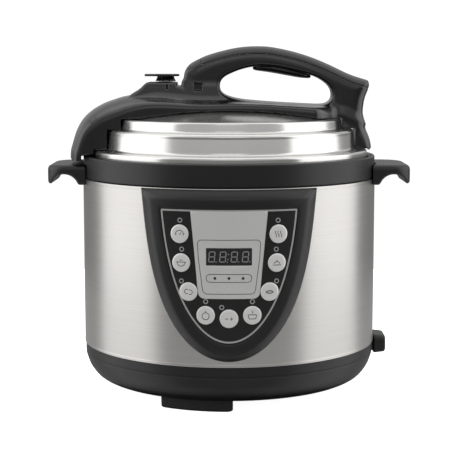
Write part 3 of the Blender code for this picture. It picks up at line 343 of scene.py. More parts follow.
def polishedAbs(name, sizes):
    # polished ABS: sharp reflections with the slight waviness that moulding leaves, and faint wiping haze
    material, tree, shader, place = startMaterial(name,
                                                  {"IOR": 1.54, "Coat Weight": 0.25, "Coat Roughness": 0.06})
    ripple = addNode(tree, "ShaderNodeTexNoise",
                     {"Vector": place, "Scale": sizes["ripplePerMetre"], "Detail": 1.0})
    haze = addNode(tree, "ShaderNodeTexNoise",
                   {"Vector": place, "Scale": 70.0, "Detail": 5.0, "Roughness": 0.65})
    linkTo(tree, mixColours(tree, haze.outputs["Fac"], sizes["colourLow"], sizes["colourHigh"]),
           shader.inputs["Base Color"])
    rough = addNode(tree, "ShaderNodeMapRange",
                    {"Value": haze.outputs["Fac"], "From Min": 0.35, "From Max": 0.7,
                                                 "To Min": sizes["roughness"] - 0.04,
                                                 "To Max": sizes["roughness"] + 0.07})
    linkTo(tree, rough.outputs["Result"], shader.inputs["Roughness"])
    bump = addNode(tree, "ShaderNodeBump", {"Height": ripple.outputs["Fac"], "Strength": 0.25,
                                            "Distance": sizes["rippleDepth"]})
    linkTo(tree, bump.outputs["Normal"], shader.inputs["Normal"])
    return material


def brushedStainless(name, sizes):
    # belt-brushed stainless sheet: hairlines run level round the body, about 0.7 mm apart as drawn, which is
    # coarser than the real ones so that they show, and they stretch highlights up and down
    material, tree, shader, place = startMaterial(name, {"Metallic": 1.0, "Roughness": sizes["roughness"]})
    stretch = addNode(tree, "ShaderNodeMapping",
                      {"Vector": place, "Scale": (9.0, 9.0, sizes["linesPerMetre"])})
    lines = addNode(tree, "ShaderNodeTexNoise",
                    {"Vector": stretch.outputs["Vector"], "Scale": 1.0, "Detail": 4.0})
    smear = addNode(tree, "ShaderNodeTexNoise", {"Vector": place, "Scale": 9.0, "Detail": 4.0})
    linkTo(tree, mixColours(tree, lines.outputs["Fac"], sizes["colourLow"], sizes["colourHigh"]),
           shader.inputs["Base Color"])
    mixed = addNode(tree, "ShaderNodeMath", {0: lines.outputs["Fac"], 1: smear.outputs["Fac"]},
                    operation="ADD")
    rough = addNode(tree, "ShaderNodeMapRange",
                    {"Value": mixed.outputs["Value"], "From Min": 0.7, "From Max": 1.3,
                                                 "To Min": sizes["roughness"] - 0.02,
                                                 "To Max": sizes["roughness"] + 0.03})
    linkTo(tree, rough.outputs["Result"], shader.inputs["Roughness"])
    bump = addNode(tree, "ShaderNodeBump",
                   {"Height": lines.outputs["Fac"], "Strength": 0.12, "Distance": 0.0001})
    linkTo(tree, bump.outputs["Normal"], shader.inputs["Normal"])
    return material


def polishedStainless(name, sizes):
    # buffed stainless pressing: near-mirror with very fine wheel marks in circles round the middle
    material, tree, shader, place = startMaterial(name, {"Metallic": 1.0, "Roughness": sizes["roughness"]})
    radius = addNode(tree, "ShaderNodeVectorMath", {0: place, 1: (1.0, 1.0, 0.0)}, operation="MULTIPLY")
    length = addNode(tree, "ShaderNodeVectorMath", {0: radius.outputs["Vector"]}, operation="LENGTH")
    height = addNode(tree, "ShaderNodeSeparateXYZ", {"Vector": place})
    marks = addNode(tree, "ShaderNodeCombineXYZ", {"X": length.outputs["Value"], "Y": height.outputs["Z"]})
    rings = addNode(tree, "ShaderNodeTexNoise",
                    {"Vector": marks.outputs["Vector"], "Scale": 900.0, "Detail": 2.0})
    smear = addNode(tree, "ShaderNodeTexNoise", {"Vector": place, "Scale": 22.0, "Detail": 4.0})
    linkTo(tree, mixColours(tree, smear.outputs["Fac"], sizes["colourLow"], sizes["colourHigh"]),
           shader.inputs["Base Color"])
    rough = addNode(tree, "ShaderNodeMapRange",
                    {"Value": smear.outputs["Fac"], "From Min": 0.35, "From Max": 0.65,
                                                 "To Min": sizes["roughness"] - 0.025,
                                                 "To Max": sizes["roughness"] + 0.04})
    linkTo(tree, rough.outputs["Result"], shader.inputs["Roughness"])
    bump = addNode(tree, "ShaderNodeBump",
                   {"Height": rings.outputs["Fac"], "Strength": 0.05, "Distance": 0.0001})
    linkTo(tree, bump.outputs["Normal"], shader.inputs["Normal"])
    return material


def speckled(name, low, high, roughness, scale, metallic=0.0, ior=1.5, depth=0.00004, stretch=(1, 1, 1),
             **more):
    # a plain moulded, cast or coated surface: two close colours in a fine mottle that also lifts the surface
    values = {"Metallic": metallic, "Roughness": roughness, **more}
    if not metallic:
        values["IOR"] = ior
    material, tree, shader, place = startMaterial(name, values)
    turned = addNode(tree, "ShaderNodeMapping", {"Vector": place, "Scale": stretch})
    mottle = addNode(tree, "ShaderNodeTexNoise",
                     {"Vector": turned.outputs["Vector"], "Scale": scale, "Detail": 3.0})
    linkTo(tree, mixColours(tree, mottle.outputs["Fac"], low, high), shader.inputs["Base Color"])
    rough = addNode(tree, "ShaderNodeMapRange",
                    {"Value": mottle.outputs["Fac"], "From Min": 0.3, "From Max": 0.7,
                                                 "To Min": max(roughness - 0.04, 0.02),
                                                 "To Max": roughness + 0.06})
    linkTo(tree, rough.outputs["Result"], shader.inputs["Roughness"])
    bump = addNode(tree, "ShaderNodeBump",
                   {"Height": mottle.outputs["Fac"], "Strength": 0.3, "Distance": depth})
    linkTo(tree, bump.outputs["Normal"], shader.inputs["Normal"])
    return material


satinBlack = satinPolypropylene("satinBlackPolypropylene", mouldedBlack)
glossyBlack = polishedAbs("polishedBlackAbs", glossBlack)
bodySteel = brushedStainless("brushedStainless", hairlineSteel)
lidSteel = polishedStainless("polishedStainless", mirrorSteel)
# screen-printed film over the face: near-black ink under a clear hard coat
inkBlack = speckled("blackPrintedFilm", "#0c0c0d", "#101011", 0.32, 500, ior=1.5, depth=0.000004)
# silver-grey metallic ink on the same film
inkSilver = speckled("silverPrintedFilm", "#cfcfcd", "#d6d6d4", 0.36, 900, ior=1.5, metallic=0.25,
                     depth=0.000006)
# silver lacquer with fine flake on ABS
silverLacquer = speckled("silverLacquerAbs", "#e2e1df", "#ebeae8", 0.36, 1400, metallic=0.35, depth=0.00001)
# bright printed outline
silverLine = speckled("silverPrintedLine", "#a9a9a7", "#b7b7b5", 0.3, 600, metallic=0.3)
# smoked acrylic window: dark grey with a clean gloss
smokedAcrylic = speckled("smokedAcrylic", "#262627", "#2b2b2c", 0.14, 60, ior=1.49, depth=0.00001)
# unlit display segments behind the window
paleSegment = speckled("unlitSegment", "#8f8f8e", "#989897", 0.3, 300)
darkInk = speckled("darkPrintedInk", "#1d1d1f", "#232325", 0.4, 500)
rubberFoot = speckled("naturalRubber", "#141414", "#1d1d1d", 0.75, 700, ior=1.52, depth=0.0001)
clearSilicone = speckled("curedSilicone", "#c9c8c0", "#d4d3cc", 0.42, 60, ior=1.41,
                         **{"Subsurface Weight": 0.25, "Subsurface Scale": 0.003})
nonStick = speckled("sinteredNonStick", "#2a2a2c", "#47474a", 0.38, 1600, metallic=0.2, depth=0.00008)
spunAluminium = speckled("spunAluminium", "#b2b2b3", "#c4c4c5", 0.34, 700, metallic=1.0,
                         stretch=(0.02, 0.02, 1))
castAluminium = speckled("turnedCastAluminium", "#a6a6a6", "#bcbcbd", 0.45, 500, metallic=1.0, depth=0.0001)
dullSteel = speckled("coldRolledSteel", "#8f8e8c", "#a3a2a0", 0.4, 400, metallic=1.0)
boardGreen = speckled("solderMask", "#0f3a1e", "#16492a", 0.35, 250)
heatWhite = speckled("heatProofMoulding", "#cfcaba", "#dad6c8", 0.5, 300)
redPlastic = speckled("redAcetal", "#8e1f1a", "#9c2822", 0.32, 300, ior=1.48)
brassPin = speckled("platedBrass", "#c9a968", "#d6b97c", 0.25, 300, metallic=1.0)
frostedCup = speckled("frostedPolycarbonate", "#b9bfc4", "#c6ccd0", 0.22, 200, ior=1.58,
                      **{"Transmission Weight": 0.55})
print("materials made")


# shapes on the curved front
def onPanel(arc, z, radius):
    # the panel's flat pattern laid on the body: x comes from the arc on the face's cylinder,
    # and y from the wanted radius at that x
    x = faceR * np.sin(arc / faceR)
    return np.stack([x, -np.sqrt(radius ** 2 - x ** 2), z + 0 * x], -1)


def shield(top, depth, half, power, count=44):
    # half width = half * (1 - 0.2 t) * sqrt(1 - t ** power), t from the level top down to the round tip
    t = 1 - (1 - np.linspace(0, 1, count)) ** 2
    width = half * (1 - 0.2 * t) * np.sqrt(np.maximum(0, 1 - t ** power))
    right = np.stack([width, shellTop - top - depth * t], -1)
    level = np.linspace(-half, half, 22)[1:-1]
    edge = np.stack([level, np.full_like(level, shellTop - top)], -1)
    return np.concatenate([right, right[-2::-1] * [-1, 1], edge])


def byAngle(outline, centre, count=300):
    # the outline read at even polar angles about a centre, so that two outlines can be joined
    full = np.concatenate([outline, outline[:1]])
    dense = np.concatenate([full[:-1] + (full[1:] - full[:-1]) * s
                            for s in np.linspace(0, 1, 40, endpoint=False)])
    angle = np.arctan2(dense[:, 1] - centre[1], dense[:, 0] - centre[0])
    order = np.argsort(angle)
    wanted = np.linspace(-math.pi, math.pi, count, endpoint=False)
    radius = np.hypot(dense[:, 0] - centre[0], dense[:, 1] - centre[1])
    reach = np.interp(wanted, angle[order], radius[order], period=fullTurn)
    return np.array(centre) + reach[:, None] * np.stack([np.cos(wanted), np.sin(wanted)], -1)


def circle(centre, radius, count=48):
    a = np.linspace(0, fullTurn, count, endpoint=False)
    return np.array(centre) + radius * np.stack([np.cos(a), np.sin(a)], -1)


def bandPart(outer, inner, levels):
    # each level (share, radius) is a loop between the outer outline and the inner one, at that radius
    loops = [onPanel(*(outer + (inner - outer) * share).T, radius) for share, radius in levels]
    return gridPart(np.array(loops), wrapU=True, wrapV=True)


def patchPart(outline, centre, low, high, bevel, rings=10, size=1.0):
    # a filled plate: its face closes on the centre, its edge has a small round, its back is flat
    middle = np.broadcast_to(np.array(centre, float), outline.shape)
    edge = bevel / size
    shares = np.linspace(1, edge * 2.2, rings)
    levels = [(s, high) for s in shares] + [(edge, high), (edge * 0.3, high - bevel * 0.3), (0, high - bevel),
                                            (0, low)]
    levels += [(1, low)]
    loops = [onPanel(*(outline + (middle - outline) * share).T, radius) for share, radius in levels]
    return gridPart(np.array(loops), wrapU=True, wrapV=True)


def ribbonPart(path, width, low, high, closed=True):
    # a flat printed line: the path, cut into even short steps, offset to both sides, with a low roof over it
    path = np.array(path, float)
    if closed:
        path = np.concatenate([path, path[:1]])
    gone = np.concatenate([[0], np.cumsum(np.hypot(*np.diff(path, axis=0).T))])
    even = np.linspace(0, gone[-1], max(4, int(gone[-1] / (0.6 * mm))) + 1)
    path = np.stack([np.interp(even, gone, path[:, 0]), np.interp(even, gone, path[:, 1])], -1)
    if closed:
        path = path[:-1]
        run = np.roll(path, -1, 0) - np.roll(path, 1, 0)
    else:
        run = np.gradient(path, axis=0)
    side = unit(run)[:, ::-1] * [1, -1] * width / 2
    loops = [onPanel(*(path + side * s).T, r) for s,
             r in ((-1, low), (-1, high), (0, high), (1, high), (1, low))]
    grid = np.stack(loops, 1)
    return gridPart(grid, wrapU=closed, wrapV=True, capU=not closed)


def sectorPart(profile, start, end, steps=24):
    # a closed (radius, height) profile carried round the axis between two angles, with flat ends
    angle = np.radians(np.linspace(start, end, steps))[:, None]
    r, z = np.array(profile)[:, 0], np.array(profile)[:, 1]
    grid = np.stack([r * np.cos(angle), r * np.sin(angle), z + 0 * angle], -1)
    return gridPart(grid, wrapV=True, capU=True)


def turnedPiece(name, profile, material, body, replaced=(), steps=192, centre=(0.0, 0.0), extra=(),
                sharp=38):
    part = turnedPart(roundedProfile(profile), steps, centre)
    return makePiece(name, [part, *extra], material, body, replaced, sharp)


# base, feet, steel shell and collar
baseShape = {"grooveHeight": 25.5 * mm, "grooveDepth": 0.9 * mm, "ventCount": 40, "ventInside": 45 * mm,
             "ventOutside": 78 * mm, "ventTurn": 2.2,
             "screwCount": 3, "screwRadius": 96 * mm}
baseR = baseHigh[0]
floorZ = baseLow[2]
grooveR = baseR - baseShape["grooveDepth"]
grooveZ = floorZ + baseShape["grooveHeight"]
lipZ = shellLow[2]
turnedPiece("baseBowl", [
    (0, floorZ + 0.6 * mm, 0), (baseR - 52 * mm, floorZ + 0.6 * mm, 1 * mm),
    (baseR - 51 * mm, floorZ, 1 * mm),
    (baseR - 19 * mm, floorZ, 4 * mm), (baseR - 10 * mm, floorZ + 4.6 * mm, 6 * mm),
    (baseR - 3.2 * mm, floorZ + 14 * mm, 6 * mm),
    (baseR, grooveZ - 1.4 * mm, 1.2 * mm), (grooveR, grooveZ - 0.7 * mm, 0.3 * mm),
    (grooveR, grooveZ + 0.5 * mm, 0.3 * mm), (baseR, grooveZ + 1.0 * mm, 0.5 * mm),
    (baseR, lipZ - 0.4 * mm, 0.8 * mm), (baseR - 3.0 * mm, lipZ - 0.3 * mm, 0.3 * mm),
    (baseR - 3.0 * mm, lipZ + 6 * mm, 0.5 * mm), (baseR - 4.5 * mm, lipZ + 6 * mm, 0.5 * mm),
    (baseR - 5.5 * mm, lipZ - 10 * mm, 2 * mm), (baseR - 13 * mm, floorZ + 9 * mm, 4 * mm),
    (baseR - 21 * mm, floorZ + 2.5 * mm, 2 * mm),
    (0, floorZ + 2.5 * mm, 0)], satinBlack, "body", ["base"])
ribParts = []
for index in range(baseShape["ventCount"]):
    middle = 360 * index / baseShape["ventCount"]
    near, far = baseShape["ventInside"], baseShape["ventOutside"]
    rib = [(near, floorZ - 0.5 * mm), (near, floorZ + 1 * mm), (far, floorZ + 1 * mm),
           (far, floorZ - 0.5 * mm)]
    ribParts.append(sectorPart(rib, middle, middle + baseShape["ventTurn"], 3))
makePiece("baseVentRibs", ribParts, satinBlack, "body")

screwParts = []
for index in range(baseShape["screwCount"]):
    around = math.radians(74 + 360 * index / baseShape["screwCount"])
    place = (baseShape["screwRadius"] * math.cos(around), baseShape["screwRadius"] * math.sin(around))
    screwParts.append(turnedPart(roundedProfile([
        (0, floorZ - 0.4 * mm, 0), (1.1 * mm, floorZ - 0.4 * mm, 0.1 * mm),
        (1.4 * mm, floorZ - 1.4 * mm, 0.2 * mm),
        (3.0 * mm, floorZ - 1.1 * mm, 0.5 * mm), (3.6 * mm, floorZ + 0.2 * mm, 0.2 * mm),
        (0, floorZ + 0.4 * mm, 0)]),
        32, place))
makePiece("baseScrews", screwParts, dullSteel, "body")

footShape = {"inside": 96.2 * mm, "outside": 113.8 * mm, "halfTurn": 17.9, "endRise": 0.8 * mm,
             "angles": {"foot_front": -106, "foot_right": 14, "foot_rear": 134}}
for node, middle in footShape["angles"].items():
    low, high = corners(node)
    inside, outside = footShape["inside"], footShape["outside"]
    profile = roundedProfile([
        (inside, high[2] - 0.1 * mm, 0.3 * mm), (inside + 0.5 * mm, low[2] + 1.5 * mm, 1 * mm),
        (inside + 2 * mm, low[2], 1.2 * mm),
        (outside - 2 * mm, low[2], 1.2 * mm), (outside - 0.5 * mm, low[2] + 1.5 * mm, 1 * mm),
        (outside, high[2] - 0.1 * mm, 0.3 * mm)])
    # the pad's ends draw in by a quarter circle, so that its plan is a rounded bar
    turn = np.linspace(-1, 1, 41)
    draw = np.sqrt(np.maximum(0, 1 - np.maximum(0, (np.abs(turn) - 0.82) / 0.18) ** 2))
    draw = 0.25 + 0.75 * draw
    angle = np.radians(middle + footShape["halfTurn"] * turn)[:, None]
    centreR = (inside + outside) / 2
    r = centreR + (profile[:, 0] - centreR)[None] * draw[:, None]
    z = profile[:, 1][None] + (1 - draw[:, None]) * footShape["endRise"]
    grid = np.stack([r * np.cos(angle), r * np.sin(angle), np.minimum(z, high[2] - 0.1 * mm)], -1)
    name = "pad" + node.split("_")[1].capitalize()
    makePiece(name, [gridPart(grid, wrapV=True, capU=True)], rubberFoot, "body", [node])

hem = 0.8 * mm
ringShell = roundedProfile([
    (shellR, shellTop, 0.5 * mm), (shellR, shellTop - 2.2 * mm, 0.2 * mm),
    (shellR - 0.12 * mm, shellTop - 2.5 * mm, 0.2 * mm),
    (shellR - 0.12 * mm, lipZ + 2.5 * mm, 0.2 * mm), (shellR, lipZ + 2.2 * mm, 0.2 * mm),
    (shellR, lipZ, 0.5 * mm),
    (shellR - hem, lipZ, 0.2 * mm), (shellR - hem, lipZ + 60 * mm, 0.2 * mm),
    (shellR - hem, shellTop, 0.2 * mm)])
makePiece("steelShell", [turnedPart(ringShell, 288)], bodySteel, "body", ["outer_shell"])

turnedPiece("rimCollar", [
    (collarR, collarTop - 0.4 * mm, 1.2 * mm), (collarR, shellTop + 1.2 * mm, 1.0 * mm),
    (shellR - 1.6 * mm, shellTop + 0.6 * mm, 0.3 * mm),
    (shellR - 1.6 * mm, collarLow[2], 0.5 * mm), (collarR - 5 * mm, collarLow[2], 1 * mm),
    (collarR - 6 * mm, collarLow[2] + 3 * mm, 1 * mm),
    (collarR - 6 * mm, collarTop - 1.2 * mm, 0.8 * mm), (collarR - 3.4 * mm, collarTop - 0.5 * mm, 0.6 * mm),
    (collarR - 2.6 * mm, collarTop, 0.6 * mm)], satinBlack, "body", ["collar"],
    steps=256)
print("base, shell and collar made")

# side handles: a plan outline and a section outline, joined with soft corners
gripShape = {"cornerRound": 18 * mm, "edgeRound": 5 * mm, "fingerRadius": 13.5 * mm, "step": 1.0 * mm}
for node, side in (("side_handle_left", -1), ("side_handle_right", 1)):
    low, high = corners(node)
    reach = max(abs(low[0]), abs(high[0]))
    halfY = high[1]
    top, thick = high[2], high[2] - low[2]

    def gripField(x, y, z, side=side, reach=reach, halfY=halfY, top=top, thick=thick):
        out = x * side
        cornerR = gripShape["cornerRound"]
        u = out - (reach - cornerR)
        v = np.abs(y) - (halfY - cornerR)
        plan = np.hypot(np.maximum(u, 0), np.maximum(v, 0)) + np.minimum(np.maximum(u, v), 0) - cornerR
        share = np.clip((out - 135 * mm) / (reach - 135 * mm), 0, 1)
        crown = z - (top - 0.6 * mm * share ** 2)
        under = (top - thick) - z
        hollow = gripShape["fingerRadius"] - np.hypot(out - (reach - 16.5 * mm),
                                                      (z - (top - thick - 4.5 * mm)) * 0.95)
        seat = shellR + 0.4 * mm - np.hypot(x, y)
        low = softMax(under, hollow, 2 * mm)
        body = softMax(softMax(plan, crown, gripShape["edgeRound"]), low, gripShape["edgeRound"] * 0.7)
        return np.maximum(body, seat)

    lowCorner = (min(side * 128 * mm, side * (reach + 1 * mm)), -halfY - 1.5 * mm, top - thick - 1.5 * mm)
    highCorner = (max(side * 128 * mm, side * (reach + 1 * mm)), halfY + 1.5 * mm, top + 1.5 * mm)
    makePiece("gripLeft" if side < 0 else "gripRight",
              [skinPart(gripField, lowCorner, highCorner, gripShape["step"])],
              satinBlack, "body", [node], sharp=50)
print("side handles made")

# the lid's steel pressing
pressing = {"domeRise": 9 * mm, "topRingRadius": 106.1 * mm, "topRingWidth": 13.4 * mm,
            "topRingHeight": 9.6 * mm,
            "midRingWidth": 12.4 * mm, "midRingHeight": 18.8 * mm, "wall": 1.4 * mm, "toothReach": 9.2 * mm,
            "toothHeight": 2.2 * mm, "toothHalf": 9.5, "toothCount": 8}
ringTop = lidHigh[2] - pressing["domeRise"]   # level of the top ring, where the dome starts
topRingR = pressing["topRingRadius"]
midRingR = topRingR + pressing["midRingWidth"]
midRingZ = ringTop - pressing["topRingHeight"]
flangeZ = midRingZ - pressing["midRingHeight"]
skirtLow = lidLow[2]
domeR = topRingR - pressing["topRingWidth"]
lidWall = pressing["wall"]
toothTurns = 360 / pressing["toothCount"] * np.arange(pressing["toothCount"])


def domeHeight(r):
    # the dome is a shallow parabola over the top ring
    return ringTop + pressing["domeRise"] * (1 - (r / domeR) ** 2)


domeRadii = np.linspace(0, domeR - 5 * mm, 12)
lidOutside = [(r, domeHeight(r), 0) for r in domeRadii]
lidOutside += [(domeR + 1.5 * mm, ringTop - 0.35 * mm, 2 * mm),
               (domeR + 4 * mm, ringTop - 0.1 * mm, 1.5 * mm),
               (topRingR - 2.0 * mm, ringTop, 0.8 * mm), (topRingR - 0.9 * mm, ringTop - 1.0 * mm, 0.8 * mm),
               (topRingR, midRingZ + 1.3 * mm, 0.9 * mm),
               (topRingR + 1.2 * mm, midRingZ + 0.1 * mm, 0.7 * mm),
               (midRingR - 3.2 * mm, midRingZ, 1.2 * mm),
               (midRingR - 1.7 * mm, midRingZ - 1.6 * mm, 1.4 * mm),
               (midRingR, flangeZ + 1.6 * mm, 1.2 * mm), (midRingR + 1.4 * mm, flangeZ + 0.2 * mm, 0.9 * mm),
               (flangeR - 1.6 * mm, flangeZ, 1.0 * mm), (flangeR, flangeZ - 1.3 * mm, 1.2 * mm),
               (flangeR, skirtLow, 0.3 * mm)]
lidInside = [(flangeR - lidWall, skirtLow, 0.3 * mm), (flangeR - lidWall, flangeZ - lidWall - 1 * mm, 1 * mm),
             (midRingR - lidWall, flangeZ - lidWall, 1 * mm),
             (midRingR - lidWall, midRingZ - lidWall, 1.2 * mm),
             (topRingR - lidWall, midRingZ - lidWall, 1 * mm),
             (topRingR - lidWall, ringTop - lidWall, 1 * mm)]
lidInside += [(r, domeHeight(r) - lidWall, 0) for r in domeRadii[::-1]]
biteR, toothTop = flangeR - pressing["toothReach"], skirtLow + pressing["toothHeight"]
tooth = roundedProfile([(biteR, skirtLow, 0.4 * mm), (biteR, toothTop, 0.4 * mm),
                        (flangeR - 0.7 * mm, toothTop, 0.3 * mm), (flangeR - 0.7 * mm, skirtLow, 0.3 * mm)])
lidTeeth = [sectorPart(tooth, turn + 22.5 - pressing["toothHalf"], turn + 22.5 + pressing["toothHalf"], 12)
            for turn in toothTurns]
stud = turnedPart(roundedProfile([(0, 236 * mm, 0), (3.5 * mm, 236 * mm, 0.5 * mm),
                                  (3.5 * mm, 262 * mm, 0.5 * mm), (0, 262 * mm, 0)]), 32)
turnedPiece("lidPressing", lidOutside + lidInside, lidSteel, "lid", ["lid_pan"], steps=288,
            extra=[*lidTeeth, stud], sharp=42)

plateLow, plateHigh = corners("seal_support_plate")
plateZ, plateR = plateLow[2], plateHigh[0]
ribs = []
for r in (34, 52, 70, 86):
    ribs += [((r - 3) * mm, plateZ, 1 * mm), ((r - 1.2) * mm, plateZ - 0.9 * mm, 0.9 * mm),
             ((r + 1.2) * mm, plateZ - 0.9 * mm, 0.9 * mm),
             ((r + 3) * mm, plateZ, 1 * mm)]
turnedPiece("sealPlate", [
    (4 * mm, plateZ, 0.2 * mm), *ribs, (plateR - 3 * mm, plateZ, 1.2 * mm),
    (plateR, plateZ - 0.6 * mm, 0.3 * mm), (plateR, plateZ + 0.4 * mm, 0.3 * mm),
    (plateR - 3 * mm, plateZ + 1.1 * mm, 1 * mm), (4 * mm, plateZ + 1.1 * mm, 0.2 * mm)],
    lidSteel, "lid", ["seal_support_plate"], steps=160)
print("lid pressing made")

# pots
innerLow, innerHigh = corners("inner_pot")
rimR = innerHigh[0]
wallR = rimR - 2.7 * mm
potFloor, potTop = innerLow[2], innerHigh[2]
turnedPiece("cookingPot", [
    (0, potFloor, 0), (wallR - 16 * mm, potFloor, 3 * mm), (wallR - 4 * mm, potFloor + 4 * mm, 8 * mm),
    (wallR, potFloor + 16 * mm, 6 * mm),
    (wallR, potTop - 2.2 * mm, 0.8 * mm), (rimR, potTop - 1.5 * mm, 0.5 * mm),
    (rimR, potTop - 0.2 * mm, 0.4 * mm), (wallR + 0.5 * mm, potTop, 0.5 * mm),
    (wallR - 1.6 * mm, potTop - 1 * mm, 0.8 * mm), (wallR - 1.6 * mm, potFloor + 16 * mm, 6 * mm),
    (wallR - 6 * mm, potFloor + 6 * mm, 8 * mm),
    (wallR - 17 * mm, potFloor + 2.4 * mm, 3 * mm), (0, potFloor + 2.4 * mm, 0)],
    nonStick, "pot", ["inner_pot"], steps=224)

frameLow, frameHigh = corners("outer_pot")
fixedShape = {"radius": 116.0 * mm, "toothReach": 9.2 * mm, "toothLow": 208.7 * mm, "toothHigh": 210.9 * mm,
              "seatHigh": 195 * mm, "holeRadius": 60.2 * mm, "wall": 1.3 * mm}
frameR = fixedShape["radius"]
frameInside = frameR - fixedShape["wall"]
rootR, reachR = frameR - 0.6 * mm, frameR + fixedShape["toothReach"]
toothLow, toothHigh = fixedShape["toothLow"], fixedShape["toothHigh"]
tooth = roundedProfile([(rootR, toothLow, 0.3 * mm), (rootR, toothHigh, 0.3 * mm),
                        (reachR, toothHigh, 0.4 * mm), (reachR, toothLow, 0.4 * mm)])
frameTeeth = [sectorPart(tooth, turn - pressing["toothHalf"], turn + pressing["toothHalf"], 12)
              for turn in toothTurns]
seatZ, holeR, frameFloor = fixedShape["seatHigh"], fixedShape["holeRadius"], frameLow[2]
turnedPiece("fixedPot", [
    (frameR, frameHigh[2], 0.3 * mm), (frameR, seatZ + 0.2 * mm, 0.8 * mm), (frameHigh[0], seatZ, 0.3 * mm),
    (frameHigh[0], seatZ - 1.4 * mm, 0.3 * mm), (frameR, seatZ - 1.5 * mm, 0.8 * mm),
    (frameR, frameFloor + 18 * mm, 6 * mm), (frameR - 10 * mm, frameFloor + 1.5 * mm, 5 * mm),
    (frameR - 16 * mm, frameFloor, 2 * mm), (holeR, frameFloor, 0.3 * mm),
    (holeR, frameFloor + 1.3 * mm, 0.3 * mm),
    (frameR - 16.5 * mm, frameFloor + 1.3 * mm, 2 * mm), (frameR - 11 * mm, frameFloor + 3 * mm, 4 * mm),
    (frameInside, frameFloor + 18 * mm, 6 * mm), (frameInside, frameHigh[2], 0.3 * mm)],
    spunAluminium, "body", ["outer_pot"], steps=224, extra=frameTeeth)

plateR = corners("heating_plate")[1][0]
heaterLow, heaterTop = corners("heating_plate")[0][2], corners("heating_plate")[1][2]
grooves = []
for r in range(24, 86, 6):
    grooves += [((r - 0.8) * mm, heaterTop, 0.2 * mm), (r * mm, heaterTop - 0.5 * mm, 0.3 * mm),
                ((r + 0.8) * mm, heaterTop, 0.2 * mm)]
turnedPiece("castHotPlate", [
    (14 * mm, heaterLow + 0.2 * mm, 0.4 * mm), (14 * mm, heaterTop, 0.8 * mm), *grooves,
    (plateR - 2 * mm, heaterTop, 1.2 * mm),
    (plateR, heaterTop - 3 * mm, 1.2 * mm), (plateR, heaterTop - 15.5 * mm, 0.8 * mm),
    (20 * mm, heaterTop - 15.6 * mm, 1 * mm),
    (20 * mm, heaterLow, 0.5 * mm)], castAluminium, "body", ["heating_plate"], steps=160)

sealLow, sealHigh = corners("sealing_ring")
sealR = sealHigh[0]
turnedPiece("siliconeRing", [
    (sealR, sealHigh[2] - 1 * mm, 0.8 * mm), (sealR, sealLow[2] + 1.2 * mm, 0.8 * mm),
    (sealR - 1.2 * mm, sealLow[2], 0.6 * mm),
    (sealR - 5.5 * mm, sealLow[2], 0.6 * mm), (sealR - 6.4 * mm, sealLow[2] + 2.4 * mm, 1 * mm),
    (sealR - 9.6 * mm, sealLow[2] + 2.9 * mm, 0.6 * mm),
    (sealR - 9.7 * mm, sealHigh[2] - 0.3 * mm, 0.6 * mm), (sealR - 4 * mm, sealHigh[2], 0.4 * mm),
    (sealR - 3 * mm, sealHigh[2] - 1.2 * mm, 0.4 * mm),
    (sealR - 2 * mm, sealHigh[2], 0.4 * mm)], clearSilicone, "seal", ["sealing_ring"],
    steps=224)
print("pots, hot plate and seal made")

# control panel
panelShape = {"bezelTop": 0.7 * mm, "bezelDepth": 148.5 * mm, "bezelHalf": 80 * mm, "bezelPower": 3.2,
              "faceTop": 16.5 * mm, "faceDepth": 116.4 * mm, "faceHalf": 61 * mm, "facePower": 2.6}
outerEdge = shield(panelShape["bezelTop"], panelShape["bezelDepth"], panelShape["bezelHalf"],
                   panelShape["bezelPower"])
innerEdge = shield(panelShape["faceTop"], panelShape["faceDepth"], panelShape["faceHalf"],
                   panelShape["facePower"])
bezelSteps = [(0, 0.3), (0, 1.3), (0.02, 2.0), (0.06, 2.8), (0.18, 4.6), (0.30, 6.1), (0.38, 6.9),
              (0.44, 7.35), (0.50, 7.62), (0.56, 7.7),
              (0.80, 7.7), (0.95, 7.68), (0.985, 7.5), (1.0, 7.2), (1.0, 0.6)]
makePiece("panelBezel", [bandPart(outerEdge, innerEdge, [(s, shellR + p * mm) for s, p in bezelSteps])],
          satinBlack, "body",
          ["panel_bezel"], sharp=50)
face = faceR - 0.5 * mm
middleZ = shellTop - 62 * mm
makePiece("panelFace", [patchPart(innerEdge, (0, middleZ), face - 2.5 * mm, face, 0.2 * mm, 18, 50 * mm)],
          inkBlack, "body",
          ["panel_overlay"])
insetEdge = innerEdge + (np.array([0, middleZ]) - innerEdge) * 0.028
makePiece("panelOutline", [ribbonPart(insetEdge, 1.5 * mm, face - 0.3 * mm, face + 0.12 * mm)], silverLine,
          "body")

plateShape = {"drop": 18.3 * mm, "height": 74.8 * mm, "topHalf": 33.2 * mm, "waistHalf": 30.0 * mm,
              "waistDrop": 33 * mm, "lowHalf": 26.2 * mm, "windowDrop": 49.4 * mm, "windowHeight": 15 * mm,
              "windowHalf": 19.6 * mm, "pillDrop": 57.0 * mm, "lineWidth": 0.5 * mm}
plateTop = shellTop - plateShape["drop"]
plateLow = plateTop - plateShape["height"]
waistZ = plateTop - plateShape["waistDrop"]
topHalf, waistHalf, lowHalf = plateShape["topHalf"], plateShape["waistHalf"], plateShape["lowHalf"]
plateEdge = roundedProfile([(-topHalf, plateTop, 0.4 * mm), (topHalf, plateTop, 0.4 * mm),
                            (waistHalf, waistZ, 4 * mm),
                            (lowHalf, plateLow, 6 * mm), (-lowHalf, plateLow, 6 * mm),
                            (-waistHalf, waistZ, 4 * mm)])
windowTop = shellTop - plateShape["windowDrop"]
windowLow = windowTop - plateShape["windowHeight"]
windowMiddle = (0.0, windowTop - plateShape["windowHeight"] / 2)
windowHalf = plateShape["windowHalf"]
